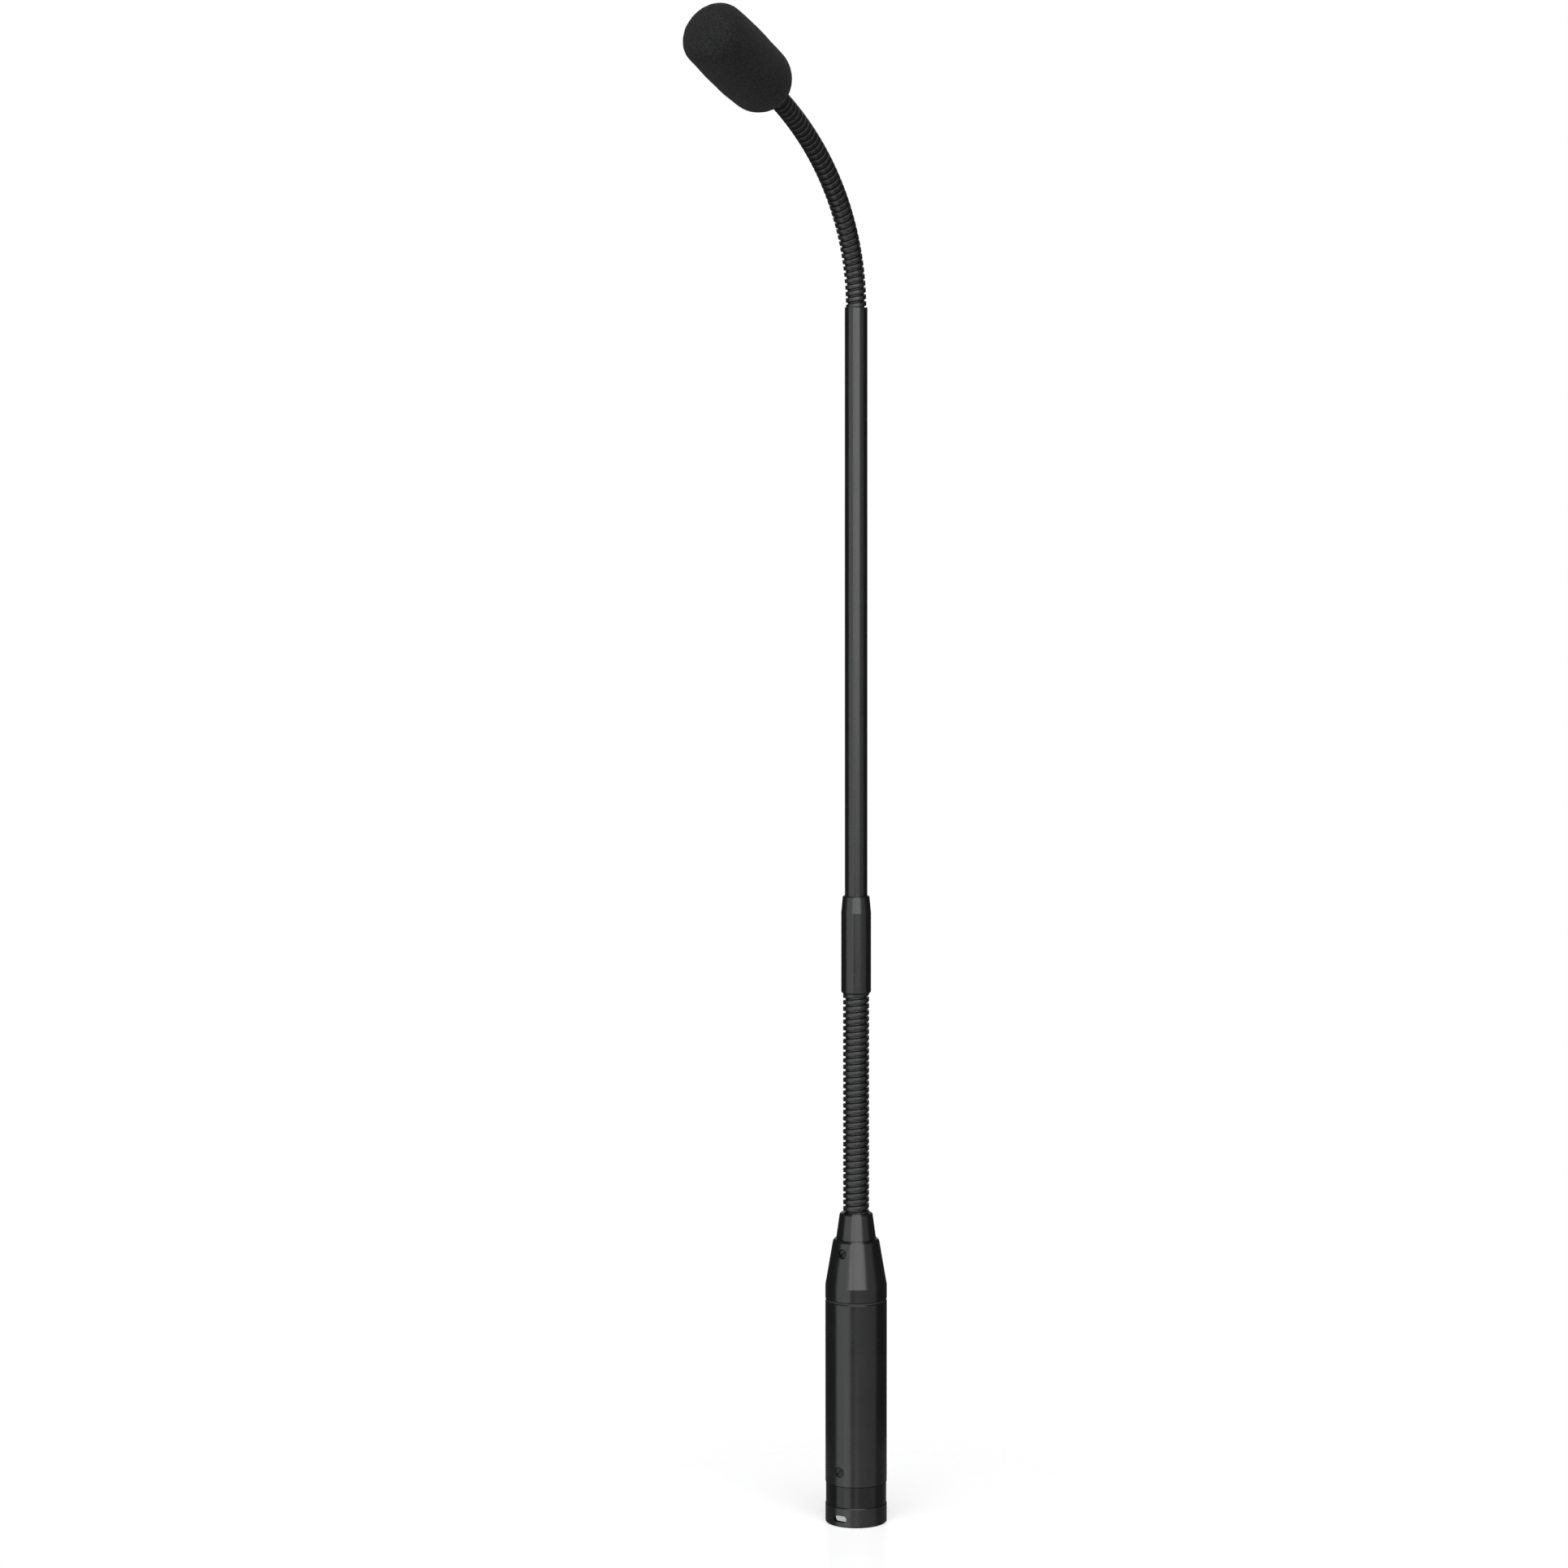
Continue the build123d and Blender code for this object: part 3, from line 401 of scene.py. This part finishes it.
def banded_resistor(name):
    """Pale lacquered body with coloured rings along its height."""
    finish = Finish(name)
    rings = finish.node("ShaderNodeTexWave", wave_type="BANDS", bands_direction="Z")
    finish.fill(rings, Scale=0.16 / MM, Distortion=0.0)
    finish.join(finish.place, rings.inputs["Vector"])
    lacquer = finish.noise(0.5 * MM)
    body = finish.blend(lacquer, (0.42, 0.30, 0.17), (0.50, 0.37, 0.22))
    ring_share = finish.span(rings.outputs["Fac"], 0.8, 0.9, 0.0, 1.0)
    finish.colour(finish.blend(ring_share, body, (0.16, 0.035, 0.02)))
    finish.roughness(finish.span(lacquer, 0.2, 0.8, 0.3, 0.42))
    finish.relief(lacquer, 0.01 * MM)
    return finish.material


# ------------------------------------------------------------------ making pieces
def finished_object(name, bm, materials, sharp=38.0):
    """A mesh object at the origin from a bmesh, shaded smooth but for its sharp edges."""
    mesh = bpy.data.meshes.new(name)
    bm.to_mesh(mesh)
    bm.free()
    for polygon in mesh.polygons:
        polygon.use_smooth = True
    mesh.set_sharp_from_angle(angle=radians(sharp))
    for material in materials:
        mesh.materials.append(material)
    piece = bpy.data.objects.new(name, mesh)
    bpy.context.scene.collection.objects.link(piece)
    return piece


def give(nodes, material):
    """Puts one finish on carried-over nodes."""
    for name in nodes:
        mesh = frame["nodes"][name].data
        mesh.materials.clear()
        mesh.materials.append(material)


# ------------------------------------------------------------------ goosenecks
class NeckLine:
    """Middle line of a neck from its foot, with the lean at each distance."""

    step = 0.1 * MM

    def __init__(self, start, end, length, bend=0.0, bias=0.0):
        self.length = length
        self.bend = bend
        self.bias = bias
        count = round(length / self.step)
        point = Vector(start)
        self.points = [point.copy()]
        for n in range(count):
            point += self.way((n + 0.5) * self.step) * self.step
            self.points.append(point.copy())
        miss = (Vector(end) - self.points[-1]) / count
        self.points = [spot + miss * n for n, spot in enumerate(self.points)]

    def lean(self, distance):
        share = min(max(distance / self.length, 0.0), 1.0)
        return self.bend * (share + self.bias * (share - share * share))

    def way(self, distance):
        angle = self.lean(distance)
        return Vector((0, -sin(angle), cos(angle)))

    def at(self, distance):
        last = len(self.points) - 1
        place = distance / self.step
        low = min(max(int(place), 0), last)
        if place <= 0 or place >= last:
            return self.points[low] + self.way(distance) * (distance - low * self.step)
        return self.points[low].lerp(self.points[low + 1], place - low)

    def placed(self, spot):
        """Where a point of the straight neck lies once the neck is bent."""
        angle = self.lean(spot.z)
        return self.at(spot.z) + ACROSS * spot.x + Vector((0, cos(angle), sin(angle))) * spot.y


def close_ends(bm):
    """Fills every open loop of edges."""
    bmesh.ops.holes_fill(bm, edges=[edge for edge in bm.edges if edge.is_boundary], sides=0)


def wound(bm, outline, facets, turns, pitch):
    """Winds a closed outline of edges round Z into a wire."""
    bmesh.ops.spin(
        bm, geom=outline, cent=(0, 0, 0), axis=(0, 0, 1), dvec=(0, 0, pitch / facets),
        angle=2 * pi * turns, steps=round(facets * turns), use_merge=False,
    )


def neck_wires(look, wire, origin, start, end, low, high):
    """Rib wire and core wire of one link from one turn to another, cut flat at two heights."""
    bm = bmesh.new()
    half = look.rib_width / 2
    outer = wire.outer_radius
    inner = outer - look.rib_depth
    section = [(inner, -half), (inner, half), (outer, half), (outer, -half)]
    corners = [bm.verts.new((-radius, 0, height)) for radius, height in section]
    for first, second in zip(corners, corners[1:] + corners[:1]):
        bm.edges.new((first, second))
    bmesh.ops.bevel(
        bm, geom=corners[2:], offset=look.rib_round, offset_type="OFFSET", segments=3,
        profile=0.5, affect="VERTICES", material=-1,
    )
    core_middle = Matrix.Translation((wire.root_radius - wire.core_wire / 2, 0, 0))
    bmesh.ops.create_circle(
        bm, segments=12, radius=wire.core_wire / 2,
        matrix=core_middle @ Matrix.Rotation(pi / 2, 4, "X"),
    )
    rise = Matrix.Translation((0, 0, origin + start * look.pitch))
    bmesh.ops.transform(
        bm, verts=bm.verts[:], matrix=rise @ Matrix.Rotation(2 * pi * start, 4, "Z"),
    )
    wound(bm, bm.verts[:] + bm.edges[:], look.facets, end - start, look.pitch)
    close_ends(bm)
    for height, below in ((low, True), (high, False)):
        if height is None:
            continue
        bmesh.ops.bisect_plane(
            bm, geom=bm.verts[:] + bm.edges[:] + bm.faces[:], dist=0.1 * WELD,
            plane_co=(0, 0, height), plane_no=(0, 0, 1), clear_inner=below, clear_outer=not below,
        )
        close_ends(bm)
    bmesh.ops.recalc_face_normals(bm, faces=bm.faces[:])
    return bm


def cable_in(bm, look, low, high, ball):
    """Cable through the middle of a link, with a ball of its jacket in the hinge at its top."""
    rows = 8
    before = set(bm.faces)
    ring = bmesh.ops.create_circle(
        bm, segments=20, radius=look.cable / 2, matrix=Matrix.Translation((0, 0, low)),
    )["verts"]
    edges = list({edge for vert in ring for edge in vert.link_edges})
    for _ in range(rows):
        grown = bmesh.ops.extrude_edge_only(bm, edges=edges)["geom"]
        edges = [part for part in grown if isinstance(part, bmesh.types.BMEdge)]
        moved = [part for part in grown if isinstance(part, bmesh.types.BMVert)]
        bmesh.ops.translate(bm, vec=(0, 0, (high - low) / rows), verts=moved)
    close_ends(bm)
    if ball:
        bmesh.ops.create_uvsphere(
            bm, u_segments=24, v_segments=16, radius=ball, matrix=Matrix.Translation((0, 0, high)),
        )
    jacket = [face for face in bm.faces if face not in before]
    bmesh.ops.recalc_face_normals(bm, faces=jacket)
    for face in jacket:
        face.material_index = 1


def neck_joints(part, count):
    """Joints of a neck from its foot up, bend and sway in turn."""
    names = [f"{part}_sway" if n % 2 else f"{part}_bend" for n in range(count)]
    return [JOINTS[name if n < 2 else f"{name}_{n // 2 + 1}"] for n, name in enumerate(names)]


def build_neck(part, line, joints, hinges, wire):
    """One piece for each link of a gooseneck. The wires of two links meet on their hinge's axis."""
    look = bpy.context.scene.podium_mic_neck
    materials = neck_materials()
    bodies = [joints[0]["parent"]] + [joint["child"] for joint in joints]
    links = [f"{part}_link_{n:02d}" for n in range(1, len(joints))]
    nodes = [f"{part}_foot"] + links + [f"{part}_top"]
    ball = wire.root_radius - wire.core_wire - JACKET_GAP
    # A sway hinge lies a quarter turn from a bend hinge, so its wires end a quarter turn earlier.
    meets = [(hinge - hinges[0]) / look.pitch - 0.25 * (n % 2) for n, hinge in enumerate(hinges)]
    for n, body in enumerate(bodies):
        last = n == len(hinges)
        start = meets[n - 1] + WIRE_SEAM if n else -SPARE_TURNS
        end = meets[-1] + SPARE_TURNS if last else meets[n] - WIRE_SEAM
        low = None if n else END_CUT
        high = line.length - END_CUT if last else None
        bm = neck_wires(look, wire, hinges[0], start, end, low, high)
        cable_low = hinges[n - 1] + ball if n else END_CUT
        cable_in(bm, look, cable_low, high or hinges[n], 0 if last else ball)
        for vert in bm.verts:
            vert.co = line.placed(vert.co)
        piece = finished_object(f"{part}_wire_{n + 1:02d}", bm, materials)
        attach(piece, body)
        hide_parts(nodes[n])


class PODIUM_MIC_OT_lower_neck(bpy.types.Operator):
    """Wind the lower gooseneck between the small cone and the coupling sleeve"""

    bl_idname = "podium_mic.lower_neck"
    bl_label = "Lower gooseneck"

    def execute(self, context):
        joints = neck_joints("lower_neck", 12)
        low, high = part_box("neck_cone")[1].z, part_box("coupling_sleeve")[0].z
        line = NeckLine((0, 0, low), (0, 0, high), high - low)
        hinges = [joint["pos_m"][2] - low for joint in joints]
        build_neck("lower_neck", line, joints, hinges, LOWER_WIRE)
        return {"FINISHED"}


class PODIUM_MIC_OT_upper_neck(bpy.types.Operator):
    """Wind the thinner upper gooseneck along its bend from the tube to the head"""

    bl_idname = "podium_mic.upper_neck"
    bl_label = "Upper gooseneck"

    def execute(self, context):
        joints = neck_joints("upper_neck", 14)
        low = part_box("stem_tube")[1].z
        points = [Vector(joint["pos_m"]) for joint in joints]
        spacing = (points[1] - points[0]).length
        first = points[0].z - low
        end = points[-1] + HEAD_WAY * HEAD_STUB
        length = first + spacing * (len(points) - 1) + HEAD_STUB
        bias = context.scene.podium_mic_neck.bend_bias
        line = NeckLine((0, 0, low), end, length, acos(HEAD_WAY.z), bias)
        hinges = [first + spacing * n for n in range(len(points))]
        build_neck("upper_neck", line, joints, hinges, UPPER_WIRE)
        return {"FINISHED"}


def neck_materials():
    """Blackened wire and cable jacket, made once for both necks."""
    known = bpy.data.materials.get("blackened_wire")
    if known:
        return [known, bpy.data.materials["cable_jacket"]]
    colours = bpy.context.scene.podium_mic_colours
    wire = satin_coat(
        "blackened_wire", tuple(colours.neck), 0.3, grain=0.16 * MM, depth=0.003 * MM,
    )
    jacket = grained(
        "cable_jacket", (0.02, 0.02, 0.02), (0.03, 0.03, 0.03),
        size=0.4 * MM, rough=(0.45, 0.6), depth=0.01 * MM,
    )
    return [wire, jacket]


# ------------------------------------------------------------------ foam windscreen
def foam_section(foam):
    """Points of the foam's half section, from the bore's end round the mouth and up the outside."""
    lip_depth = 4.0 * MM
    lip_slope = 0.1 * MM
    back_steps, side_steps, edge_steps, face_steps = 14, 9, 8, 6
    mouth = acos(foam.mouth_radius / foam.radius)
    mouth_height = foam.back_length * (1 - sin(mouth))
    points = [
        (0, foam.bore_depth),
        (foam.bore_radius, foam.bore_depth),
        (foam.bore_radius, mouth_height + lip_depth),
        (foam.mouth_radius + lip_slope, mouth_height + 0.3 * lip_depth),
    ]
    for n in range(back_steps + 1):
        turn = mouth * (1 - n / back_steps)
        points.append((foam.radius * cos(turn), foam.back_length * (1 - sin(turn))))
    side_end = foam.length - foam.dome - foam.front_radius
    for n in range(1, side_steps):
        share = n / side_steps
        height = foam.back_length + (side_end - foam.back_length) * share
        points.append((foam.radius + foam.crown * 4 * share * (1 - share), height))
    face = foam.radius - foam.front_radius
    for n in range(edge_steps + 1):
        turn = pi / 2 * n / edge_steps
        edge_height = side_end + foam.front_radius * sin(turn)
        points.append((face + foam.front_radius * cos(turn), edge_height))
    for n in range(1, face_steps):
        share = 1 - n / face_steps
        points.append((face * share, foam.length - foam.dome * share * share))
    points.append((0, foam.length))
    return points


def remeshed(piece, size):
    """Replaces a piece's mesh with an even mesh of quads of the given size."""
    even = piece.modifiers.new("Even mesh", "REMESH")
    even.mode = "VOXEL"
    even.voxel_size = size
    even.use_smooth_shade = True
    shaped = piece.evaluated_get(bpy.context.evaluated_depsgraph_get())
    mesh = bpy.data.meshes.new_from_object(shaped)
    piece.modifiers.clear()
    old = piece.data
    piece.data = mesh
    bpy.data.meshes.remove(old)


def roughen(mesh, foam):
    """Moves the surface along its normals: broad soft waves, and open cells with finer strands."""
    wave_size, wave_depth = 7 * MM, 0.14 * MM
    strand_size = foam.cell_size * 0.45
    cell_share, strand_share, sink = 0.7, 0.5, 0.3
    elsewhere = Vector((7, 3, 5))
    outwards = [vert.normal.copy() for vert in mesh.vertices]
    for vert, normal in zip(mesh.vertices, outwards):
        spot = vert.co
        wave = noise.noise(spot / wave_size) * wave_depth
        cell = noise.noise(spot / foam.cell_size)
        strand = noise.noise(spot / strand_size + elsewhere)
        pitted = cell_share * cell + strand_share * strand - sink
        vert.co = spot + normal * (wave + foam.cell_depth * pitted)


class PODIUM_MIC_OT_windscreen(bpy.types.Operator):
    """Shape the foam windscreen and press its open cells into the surface"""

    bl_idname = "podium_mic.windscreen"
    bl_label = "Foam windscreen"

    def execute(self, context):
        foam = context.scene.podium_mic_foam
        bm = bmesh.new()
        verts = [bm.verts.new((radius, 0, height)) for radius, height in foam_section(foam)]
        for start, end in zip(verts, verts[1:]):
            bm.edges.new((start, end))
        bmesh.ops.spin(
            bm, geom=bm.verts[:] + bm.edges[:], cent=(0, 0, 0), axis=(0, 0, 1), dvec=(0, 0, 0),
            angle=2 * pi, steps=96, use_merge=True,
        )
        bmesh.ops.remove_doubles(bm, verts=bm.verts[:], dist=WELD)
        bmesh.ops.recalc_face_normals(bm, faces=bm.faces[:])
        material = foam_finish("open_cell_foam", tuple(context.scene.podium_mic_colours.foam))
        piece = finished_object("foam_windscreen_cover", bm, [material], sharp=180.0)
        remeshed(piece, foam.mesh_size)
        piece.data.materials.clear()
        piece.data.materials.append(material)
        roughen(piece.data, foam)
        head_end = Vector(JOINTS["upper_neck_sway_7"]["pos_m"]) + HEAD_WAY * HEAD_STUB
        tip = head_end - HEAD_WAY * foam.over_neck
        mesh = piece.data
        mesh.transform(Matrix.Translation(tip) @ Matrix.Rotation(acos(HEAD_WAY.z), 4, "X"))
        for polygon in mesh.polygons:
            polygon.use_smooth = True
        mesh.update()
        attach(piece, "windscreen")
        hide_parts("foam_windscreen")
        return {"FINISHED"}


# ------------------------------------------------------------------ turned parts
class PODIUM_MIC_OT_turned_parts(bpy.types.Operator):
    """Put the satin coat on the shell, housing, cones, sleeve and tube"""

    bl_idname = "podium_mic.turned_parts"
    bl_label = "Turned parts"

    def execute(self, context):
        colours = context.scene.podium_mic_colours
        coat = satin_coat("satin_coat", tuple(colours.coat), 0.24)
        give(["connector_shell", "preamp_housing", "cone_collar"], coat)
        give(["neck_cone", "coupling_sleeve", "stem_tube"], coat)
        band = satin_coat(
            "gloss_band", tuple(colours.band), 0.19,
            grain=0.5 * MM, depth=0.0006 * MM, specular=0.36,
        )
        give(["glossy_band"], band)
        seal = grained(
            "seal_rubber", (0.012, 0.012, 0.012), (0.02, 0.02, 0.02),
            size=0.3 * MM, rough=(0.6, 0.75), depth=0.01 * MM,
        )
        give(["housing_gasket", "cable_grommet", "capsule_gasket"], seal)
        return {"FINISHED"}


class PODIUM_MIC_OT_fittings(bpy.types.Operator):
    """Finish the connector's inside, the screws and the electronics"""

    bl_idname = "podium_mic.fittings"
    bl_label = "Fittings and electronics"

    def execute(self, context):
        steel = grained(
            "screw_steel", (0.028, 0.028, 0.0285), (0.045, 0.045, 0.0455),
            size=0.25 * MM, rough=(0.35, 0.5), depth=0.004 * MM, metallic=1.0,
        )
        give(["connector_screw", "collar_screw"], steel)
        silver = grained(
            "contact_metal", (0.72, 0.70, 0.66), (0.80, 0.78, 0.74),
            size=0.3 * MM, rough=(0.16, 0.3), depth=0.002 * MM, metallic=1.0, stretch=(1, 1, 6),
        )
        give(["contact_pins", "ground_clip"], silver)
        nylon = grained(
            "insulator_nylon", (0.014, 0.014, 0.015), (0.02, 0.02, 0.021),
            size=0.4 * MM, rough=(0.42, 0.55), depth=0.006 * MM,
        )
        give(["connector_insert"], nylon)
        give(["preamp_board"], circuit_board("board_lacquer"))
        give(["board_resistors"], banded_resistor("resistor_lacquer"))
        can = grained(
            "capacitor_sleeve", (0.012, 0.02, 0.05), (0.018, 0.028, 0.07),
            size=0.8 * MM, rough=(0.25, 0.36), depth=0.005 * MM,
        )
        give(["board_capacitors"], can)
        epoxy = grained(
            "moulded_epoxy", (0.015, 0.015, 0.015), (0.022, 0.022, 0.022),
            size=0.2 * MM, rough=(0.5, 0.65), depth=0.006 * MM,
        )
        give(["board_transistors"], epoxy)
        jacket = neck_materials()[1]
        give(["pin_wires", "base_cable", "stem_cable", "capsule_leads"], jacket)
        bush = grained(
            "bush_plastic", (0.55, 0.53, 0.48), (0.62, 0.60, 0.55),
            size=0.6 * MM, rough=(0.4, 0.5), depth=0.005 * MM,
        )
        give(["stem_bushes"], bush)
        return {"FINISHED"}


class PODIUM_MIC_OT_head(bpy.types.Operator):
    """Finish the capsule housing and what it holds, under the foam"""

    bl_idname = "podium_mic.head"
    bl_label = "Microphone head"

    def execute(self, context):
        coat = bpy.data.materials["satin_coat"]
        give(["head_collar", "capsule_housing", "front_grille"], coat)
        felt = grained(
            "felt", (0.02, 0.02, 0.021), (0.045, 0.045, 0.046),
            size=0.15 * MM, rough=(0.9, 1.0), depth=0.06 * MM,
        )
        give(["grille_felt"], felt)
        can = grained(
            "capsule_can", (0.60, 0.60, 0.60), (0.68, 0.68, 0.67),
            size=0.3 * MM, rough=(0.2, 0.34), depth=0.002 * MM, metallic=1.0, stretch=(6, 1, 1),
        )
        give(["condenser_capsule"], can)
        give(["capsule_board"], bpy.data.materials["board_lacquer"])
        return {"FINISHED"}


# ------------------------------------------------------------------ stage
def lamp(name, way, aim, distance, width, height, radiance, tint=(1, 1, 1)):
    """Soft box at a distance from its aim along a direction, and facing the aim."""
    data = bpy.data.lights.new(name, "AREA")
    data.shape = "RECTANGLE"
    data.size = width
    data.size_y = height
    data.color = tint
    data.energy = radiance * pi * width * height
    made = bpy.data.objects.new(name, data)
    bpy.context.scene.collection.objects.link(made)
    made.location = aim + way.normalized() * distance
    made.rotation_mode = "QUATERNION"
    made.rotation_quaternion = (-way).to_track_quat("-Z", "Y")
    made.visible_camera = False


class PODIUM_MIC_OT_stage(bpy.types.Operator):
    """Lay the pale floor, set the soft lamps and place the camera"""

    bl_idname = "podium_mic.stage"
    bl_label = "Stage"

    def execute(self, context):
        scene = context.scene
        look = scene.podium_mic_stage
        right = Vector((cos(look.turn), sin(look.turn), 0))
        away = Vector((-sin(look.turn), cos(look.turn), 0))
        spot = UP * look.height - right * look.aside - away * look.distance
        ahead = away * cos(look.tilt) - UP * sin(look.tilt)
        over = away * sin(look.tilt) + UP * cos(look.tilt)
        side = right * cos(look.roll) + over * sin(look.roll)
        top = over * cos(look.roll) - right * sin(look.roll)
        data = bpy.data.cameras.new("camera")
        data.lens = look.lens
        data.sensor_width = 36.0
        data.clip_start = 0.01
        data.clip_end = 50.0
        camera = bpy.data.objects.new("camera", data)
        scene.collection.objects.link(camera)
        axes = Matrix((side, top, -ahead)).transposed()
        camera.matrix_world = Matrix.Translation(spot) @ axes.to_4x4()
        scene.camera = camera
        self.lay_floor(scene)
        self.set_lamps(right, away, look.lamp_power)
        self.set_world(scene)
        scene.view_settings.view_transform = "Standard"
        return {"FINISHED"}

    def lay_floor(self, scene):
        """Round floor just under the microphone that fades out, and fades in mirrors too."""
        radius = 0.3
        drop = 0.02 * MM
        fade_start, fade_end = 0.045, 0.11
        fade_in_mirrors = 0.9
        bm = bmesh.new()
        bmesh.ops.create_circle(
            bm, cap_ends=True, segments=96, radius=radius, matrix=Matrix.Translation((0, 0, -drop)),
        )
        finish = Finish("pale_floor")
        mottle = finish.noise(40 * MM, detail=3.0)
        colour = tuple(scene.podium_mic_colours.floor)
        finish.colour(finish.blend(mottle, shade(colour, 0.99), colour))
        finish.roughness(finish.span(mottle, 0.3, 0.7, 0.17, 0.2))
        finish.set(
            Specular_IOR_Level=0.25, Emission_Color=(1, 1, 1, 1), Emission_Strength=0.45,
        )
        length = finish.node("ShaderNodeVectorMath", operation="LENGTH")
        finish.join(finish.place, length.inputs[0])
        fade = finish.span(length.outputs["Value"], fade_start, fade_end, 0.0, 1.0)
        path = finish.node("ShaderNodeLightPath")
        mirrored = finish.math("MULTIPLY", path.outputs["Is Glossy Ray"], fade_in_mirrors)
        fade = finish.math("MAXIMUM", fade, mirrored)
        clear = finish.node("ShaderNodeBsdfTransparent")
        mixed = finish.node("ShaderNodeMixShader")
        finish.join(fade, mixed.inputs[0])
        finish.join(finish.shader.outputs[0], mixed.inputs[1])
        finish.join(clear.outputs[0], mixed.inputs[2])
        surface = finish.tree.nodes["Material Output"].inputs["Surface"]
        finish.join(mixed.outputs[0], surface)
        floor = finished_object("floor", bm, [finish.material])

    def set_lamps(self, right, away, power):
        """Soft boxes round the microphone; their radiance is set, so a bigger one is no brighter."""
        aim = UP * 0.25

        def way(turn, rise):
            """Direction turned to the camera's right by an angle in degrees and raised by another."""
            flat = right * sin(radians(turn)) - away * cos(radians(turn))
            return flat * cos(radians(rise)) + UP * sin(radians(rise))

        lamp(
            "left_box", way(-51, 4), aim, distance=1.1, width=1.25, height=1.7,
            radiance=1.4 * power, tint=(0.97, 0.99, 1.0),
        )
        lamp(
            "right_fill", way(35, 2), aim, distance=1.3, width=2.5, height=1.6,
            radiance=0.53 * power, tint=(1.0, 0.99, 0.97),
        )
        lamp(
            "front_box", way(4, 9), aim, distance=1.6, width=2.05, height=0.85,
            radiance=2.95 * power,
        )
        lamp(
            "top_box", way(8, 64), aim, distance=1.2, width=1.0, height=0.8,
            radiance=3.0 * power,
        )
        lamp(
            "low_card", way(-20, -55), UP * 0.4, distance=0.9, width=0.7, height=0.5,
            radiance=1.3 * power,
        )
        lamp(
            "back_card", way(180, 20), aim, distance=1.2, width=1.0, height=0.8,
            radiance=0.6 * power,
        )

    def set_world(self, scene):
        """White behind everything, but only a faint light from it."""
        world = bpy.data.worlds.new("studio")
        world.use_nodes = True
        tree = world.node_tree
        back = tree.nodes["Background"]
        back.inputs["Color"].default_value = (0.05, 0.05, 0.05, 1)
        shown = tree.nodes.new("ShaderNodeBackground")
        shown.inputs["Color"].default_value = (1, 1, 1, 1)
        path = tree.nodes.new("ShaderNodeLightPath")
        mixed = tree.nodes.new("ShaderNodeMixShader")
        tree.links.new(path.outputs["Is Camera Ray"], mixed.inputs[0])
        tree.links.new(back.outputs[0], mixed.inputs[1])
        tree.links.new(shown.outputs[0], mixed.inputs[2])
        tree.links.new(mixed.outputs[0], tree.nodes["World Output"].inputs["Surface"])
        scene.world = world


class PODIUM_MIC_PT_build(bpy.types.Panel):
    """Lists the pieces of the microphone"""

    bl_idname = "PODIUM_MIC_PT_build"
    bl_label = "Podium microphone"
    bl_space_type = "VIEW_3D"
    bl_region_type = "UI"
    bl_category = "Podium Mic"

    def draw(self, context):
        for operator in OPERATORS:
            self.layout.operator(operator.bl_idname)
        for name in GROUPS:
            settings = getattr(context.scene, name)
            box = self.layout.box()
            for key in settings.bl_rna.properties.keys():
                if key not in ("rna_type", "name"):
                    box.prop(settings, key)


GROUPS = {
    "podium_mic_neck": PodiumMicNeck,
    "podium_mic_foam": PodiumMicFoam,
    "podium_mic_colours": PodiumMicColours,
    "podium_mic_stage": PodiumMicStage,
}
OPERATORS = (
    PODIUM_MIC_OT_stage,
    PODIUM_MIC_OT_turned_parts,
    PODIUM_MIC_OT_fittings,
    PODIUM_MIC_OT_lower_neck,
    PODIUM_MIC_OT_upper_neck,
    PODIUM_MIC_OT_head,
    PODIUM_MIC_OT_windscreen,
)


def register():
    for group in GROUPS.values():
        bpy.utils.register_class(group)
    for name, group in GROUPS.items():
        setattr(bpy.types.Scene, name, PointerProperty(type=group))
    for operator in OPERATORS:
        bpy.utils.register_class(operator)
    bpy.utils.register_class(PODIUM_MIC_PT_build)


def unregister():
    bpy.utils.unregister_class(PODIUM_MIC_PT_build)
    for operator in reversed(OPERATORS):
        bpy.utils.unregister_class(operator)
    for name in GROUPS:
        delattr(bpy.types.Scene, name)
    for group in GROUPS.values():
        bpy.utils.unregister_class(group)


def main():
    register()
    bpy.ops.podium_mic.stage()
    bpy.ops.podium_mic.turned_parts()
    bpy.ops.podium_mic.fittings()
    bpy.ops.podium_mic.lower_neck()
    bpy.ops.podium_mic.upper_neck()
    bpy.ops.podium_mic.head()
    bpy.ops.podium_mic.windscreen()


if __name__ == "__main__":
    main()
